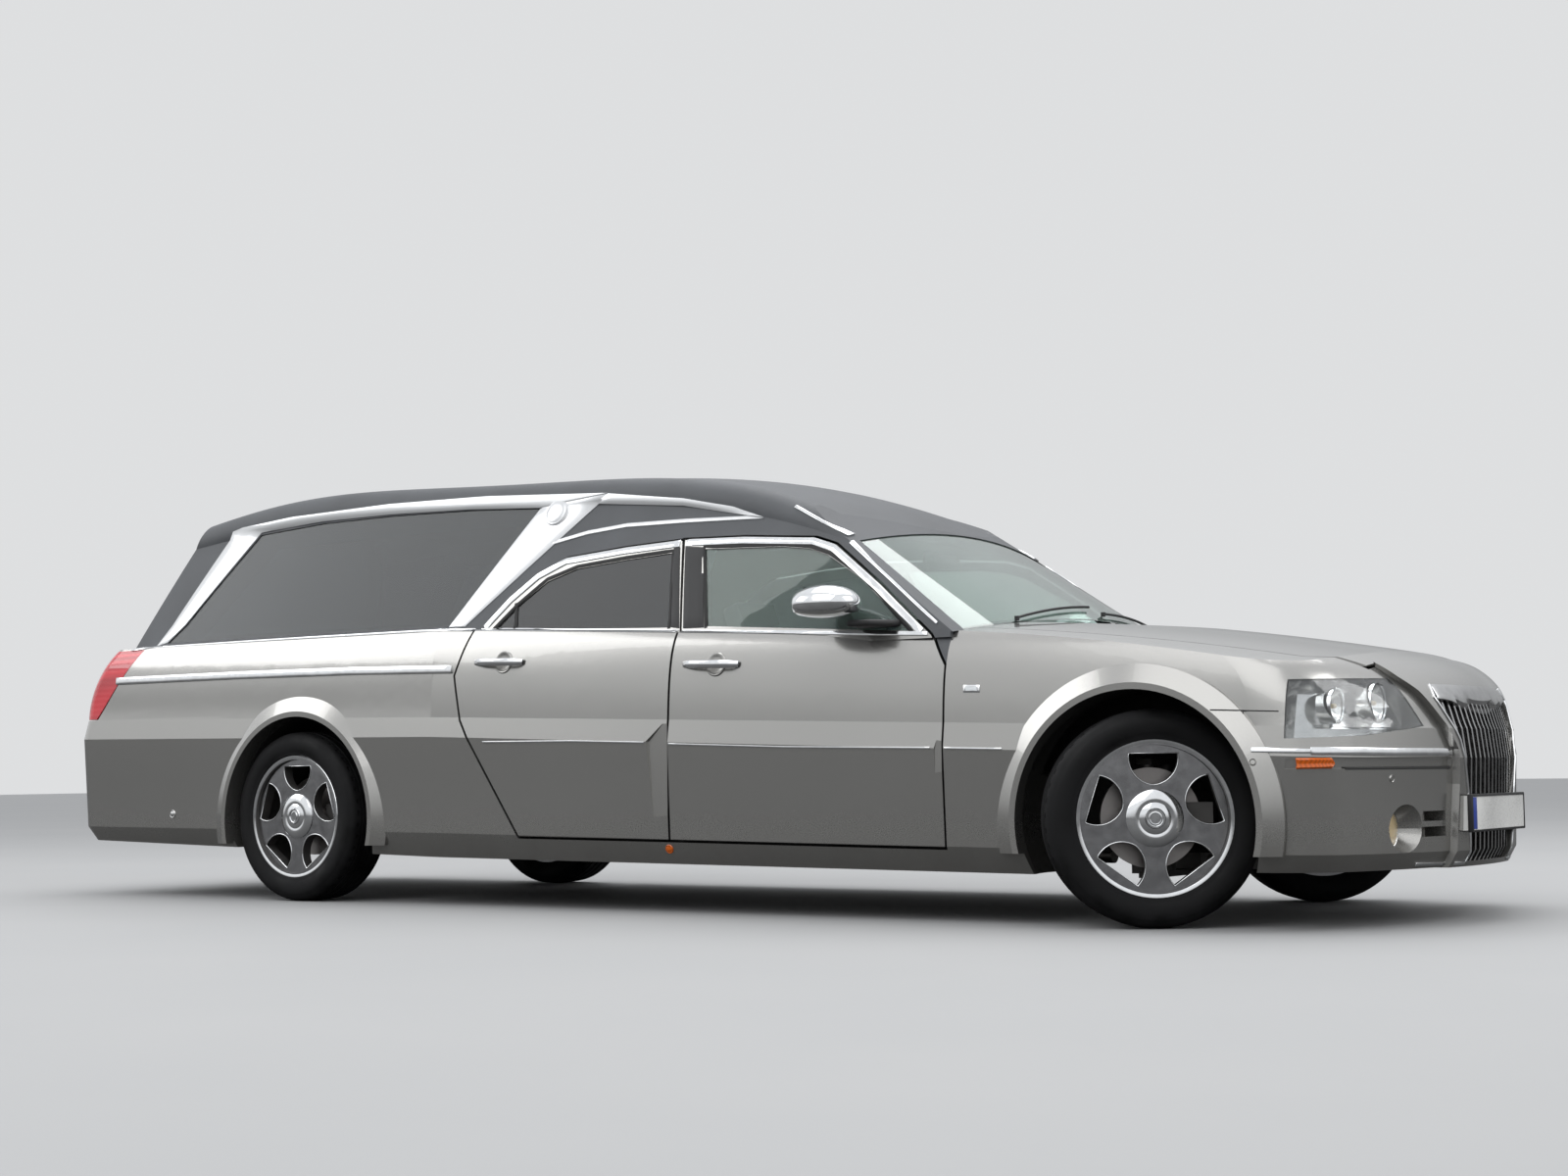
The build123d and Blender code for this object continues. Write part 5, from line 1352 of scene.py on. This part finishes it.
LIGHTS = (
    # name, place, size and power
    ("key_light", (2.0, -9.5, 10.0), 12.0, 460.0),
    ("fill_light", (-9.0, -6.0, 7.0), 6.0, 240.0),
    ("nose_light", (10.0, 2.0, 7.0), 6.0, 280.0),
    ("top_light", (0.0, 2.5, 10.0), 9.0, 560.0),
)
CAMERA_PLACE = (5.699, -7.689, 0.53)
CAMERA_TURN = math.radians(35.366)
CAMERA_PITCH = math.radians(4.5)
CAMERA_ROLL = math.radians(-0.687)
SENSOR_WIDTH = 36.0
FOCAL_PIXELS = 2352.0
PICTURE_WIDTH = 1600.0


def soft_sky():
    """A sky that dims towards the ground and behind the car, plain and pale where the camera sees it."""
    world = bpy.data.worlds.new("soft_sky")
    sky = NodeTree(world, "Background")
    way = sky.node("ShaderNodeTexCoord").outputs["Generated"]
    parts = sky.node("ShaderNodeSeparateXYZ", {"Vector": way}).outputs
    ramp = sky.node("ShaderNodeValToRGB", {"Fac": parts["Z"]})
    stops = ramp.color_ramp.elements
    stops[0].color = (0.22, 0.22, 0.22, 1.0)
    stops[1].position = 0.75
    stops[1].color = (1.0, 1.02, 1.05, 1.0)
    for height, colour in ((0.05, (0.62, 0.63, 0.64, 1.0)), (0.18, (0.98, 1.0, 1.02, 1.0))):
        stops.new(height).color = colour
    seen = sky.node("ShaderNodeLightPath").outputs["Is Camera Ray"]
    behind = sky.sum(parts["Y"], parts["Z"], -1.3)
    power = sky.node("ShaderNodeMix", {0: seen, 2: sky.spread(behind, 0.0, 0.6, 0.9, 0.45), 3: 0.85})
    sky.drive("Color", sky.mix(seen, ramp.outputs["Color"], (0.86, 0.87, 0.88, 1.0)))
    sky.drive("Strength", power.outputs[0])
    return world


def floor_finish():
    """Plain pale floor, dark for all rays but the camera's, so that the lacquer mirrors a dark ground."""
    f = Finish("studio_floor").set(Roughness=0.7)
    pale = f.mix(f.noise(0.6, 4.0), (0.36, 0.365, 0.37, 1.0), (0.4, 0.4, 0.4, 1.0))
    seen = f.node("ShaderNodeLightPath").outputs["Is Camera Ray"]
    f.drive("Base Color", f.mix(seen, (0.05, 0.05, 0.05, 1.0), pale))
    return f.material


class HEARSE_OT_stage(bpy.types.Operator):
    """Set the floor, the lights and the camera"""
    bl_idname = "hearse.stage"
    bl_label = "Stage"

    def execute(self, context):
        scene = context.scene
        clear_selection()
        bpy.ops.object.camera_add(location=CAMERA_PLACE)
        camera = context.object
        ahead = Vector((-math.sin(CAMERA_TURN) * math.cos(CAMERA_PITCH),
                        math.cos(CAMERA_TURN) * math.cos(CAMERA_PITCH), math.sin(CAMERA_PITCH)))
        across = Vector((math.cos(CAMERA_TURN), math.sin(CAMERA_TURN), 0.0))
        up = across.cross(ahead)
        right = across * math.cos(CAMERA_ROLL) + up * math.sin(CAMERA_ROLL)
        top = up * math.cos(CAMERA_ROLL) - across * math.sin(CAMERA_ROLL)
        axes = Matrix((right, top, -ahead)).transposed()
        camera.matrix_world = Matrix.Translation(CAMERA_PLACE) @ axes.to_4x4()
        camera.data.sensor_width = SENSOR_WIDTH
        camera.data.lens = SENSOR_WIDTH * FOCAL_PIXELS / PICTURE_WIDTH
        camera.data.clip_end = 200.0
        scene.camera = camera

        clear_selection()
        bpy.ops.mesh.primitive_plane_add(size=120.0, location=(0.0, 0.0, 0.0))
        floor = context.object
        floor.name = "studio_floor"
        floor.data.materials.append(floor_finish())

        for name, place, size, power in LIGHTS:
            clear_selection()
            bpy.ops.object.light_add(type="AREA", location=place)
            light = context.object
            light.name = name
            light.data.size = size
            light.data.energy = power
            aim = Vector((0.0, 0.0, 0.6)) - Vector(place)
            light.rotation_euler = aim.to_track_quat("-Z", "Y").to_euler()
        scene.world = soft_sky()
        scene.view_settings.view_transform = "Standard"
        return {"FINISHED"}


class HEARSE_PT_panel(bpy.types.Panel):
    """Lists the hearse's steps and settings"""
    bl_idname = "HEARSE_PT_panel"
    bl_label = "Hearse"
    bl_space_type = "VIEW_3D"
    bl_region_type = "UI"
    bl_category = "Hearse"

    def draw(self, context):
        for group in (context.scene.hearse_colours, context.scene.hearse_sizes):
            for key in group.bl_rna.properties.keys():
                if key not in ("rna_type", "name"):
                    self.layout.prop(group, key)
        for step in STEPS:
            self.layout.operator(step.bl_idname)


STEPS = (
    HEARSE_OT_stage,
    HEARSE_OT_coat_nodes,
    HEARSE_OT_tyres,
    HEARSE_OT_wheels,
    HEARSE_OT_side_trim,
    HEARSE_OT_mirrors,
    HEARSE_OT_lamps,
    HEARSE_OT_nose,
    HEARSE_OT_tail,
    HEARSE_OT_seats,
    HEARSE_OT_cabin,
    HEARSE_OT_load_space,
)
CLASSES = (HearseColours, HearseSizes) + STEPS + (HEARSE_PT_panel,)


def register():
    for item in CLASSES:
        bpy.utils.register_class(item)
    bpy.types.Scene.hearse_colours = bpy.props.PointerProperty(type=HearseColours)
    bpy.types.Scene.hearse_sizes = bpy.props.PointerProperty(type=HearseSizes)


def unregister():
    del bpy.types.Scene.hearse_sizes
    del bpy.types.Scene.hearse_colours
    for item in reversed(CLASSES):
        bpy.utils.unregister_class(item)


def main():
    """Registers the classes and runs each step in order."""
    register()
    for step in STEPS:
        group, name = step.bl_idname.split(".")
        getattr(getattr(bpy.ops, group), name)()


if __name__ == "__main__":
    main()
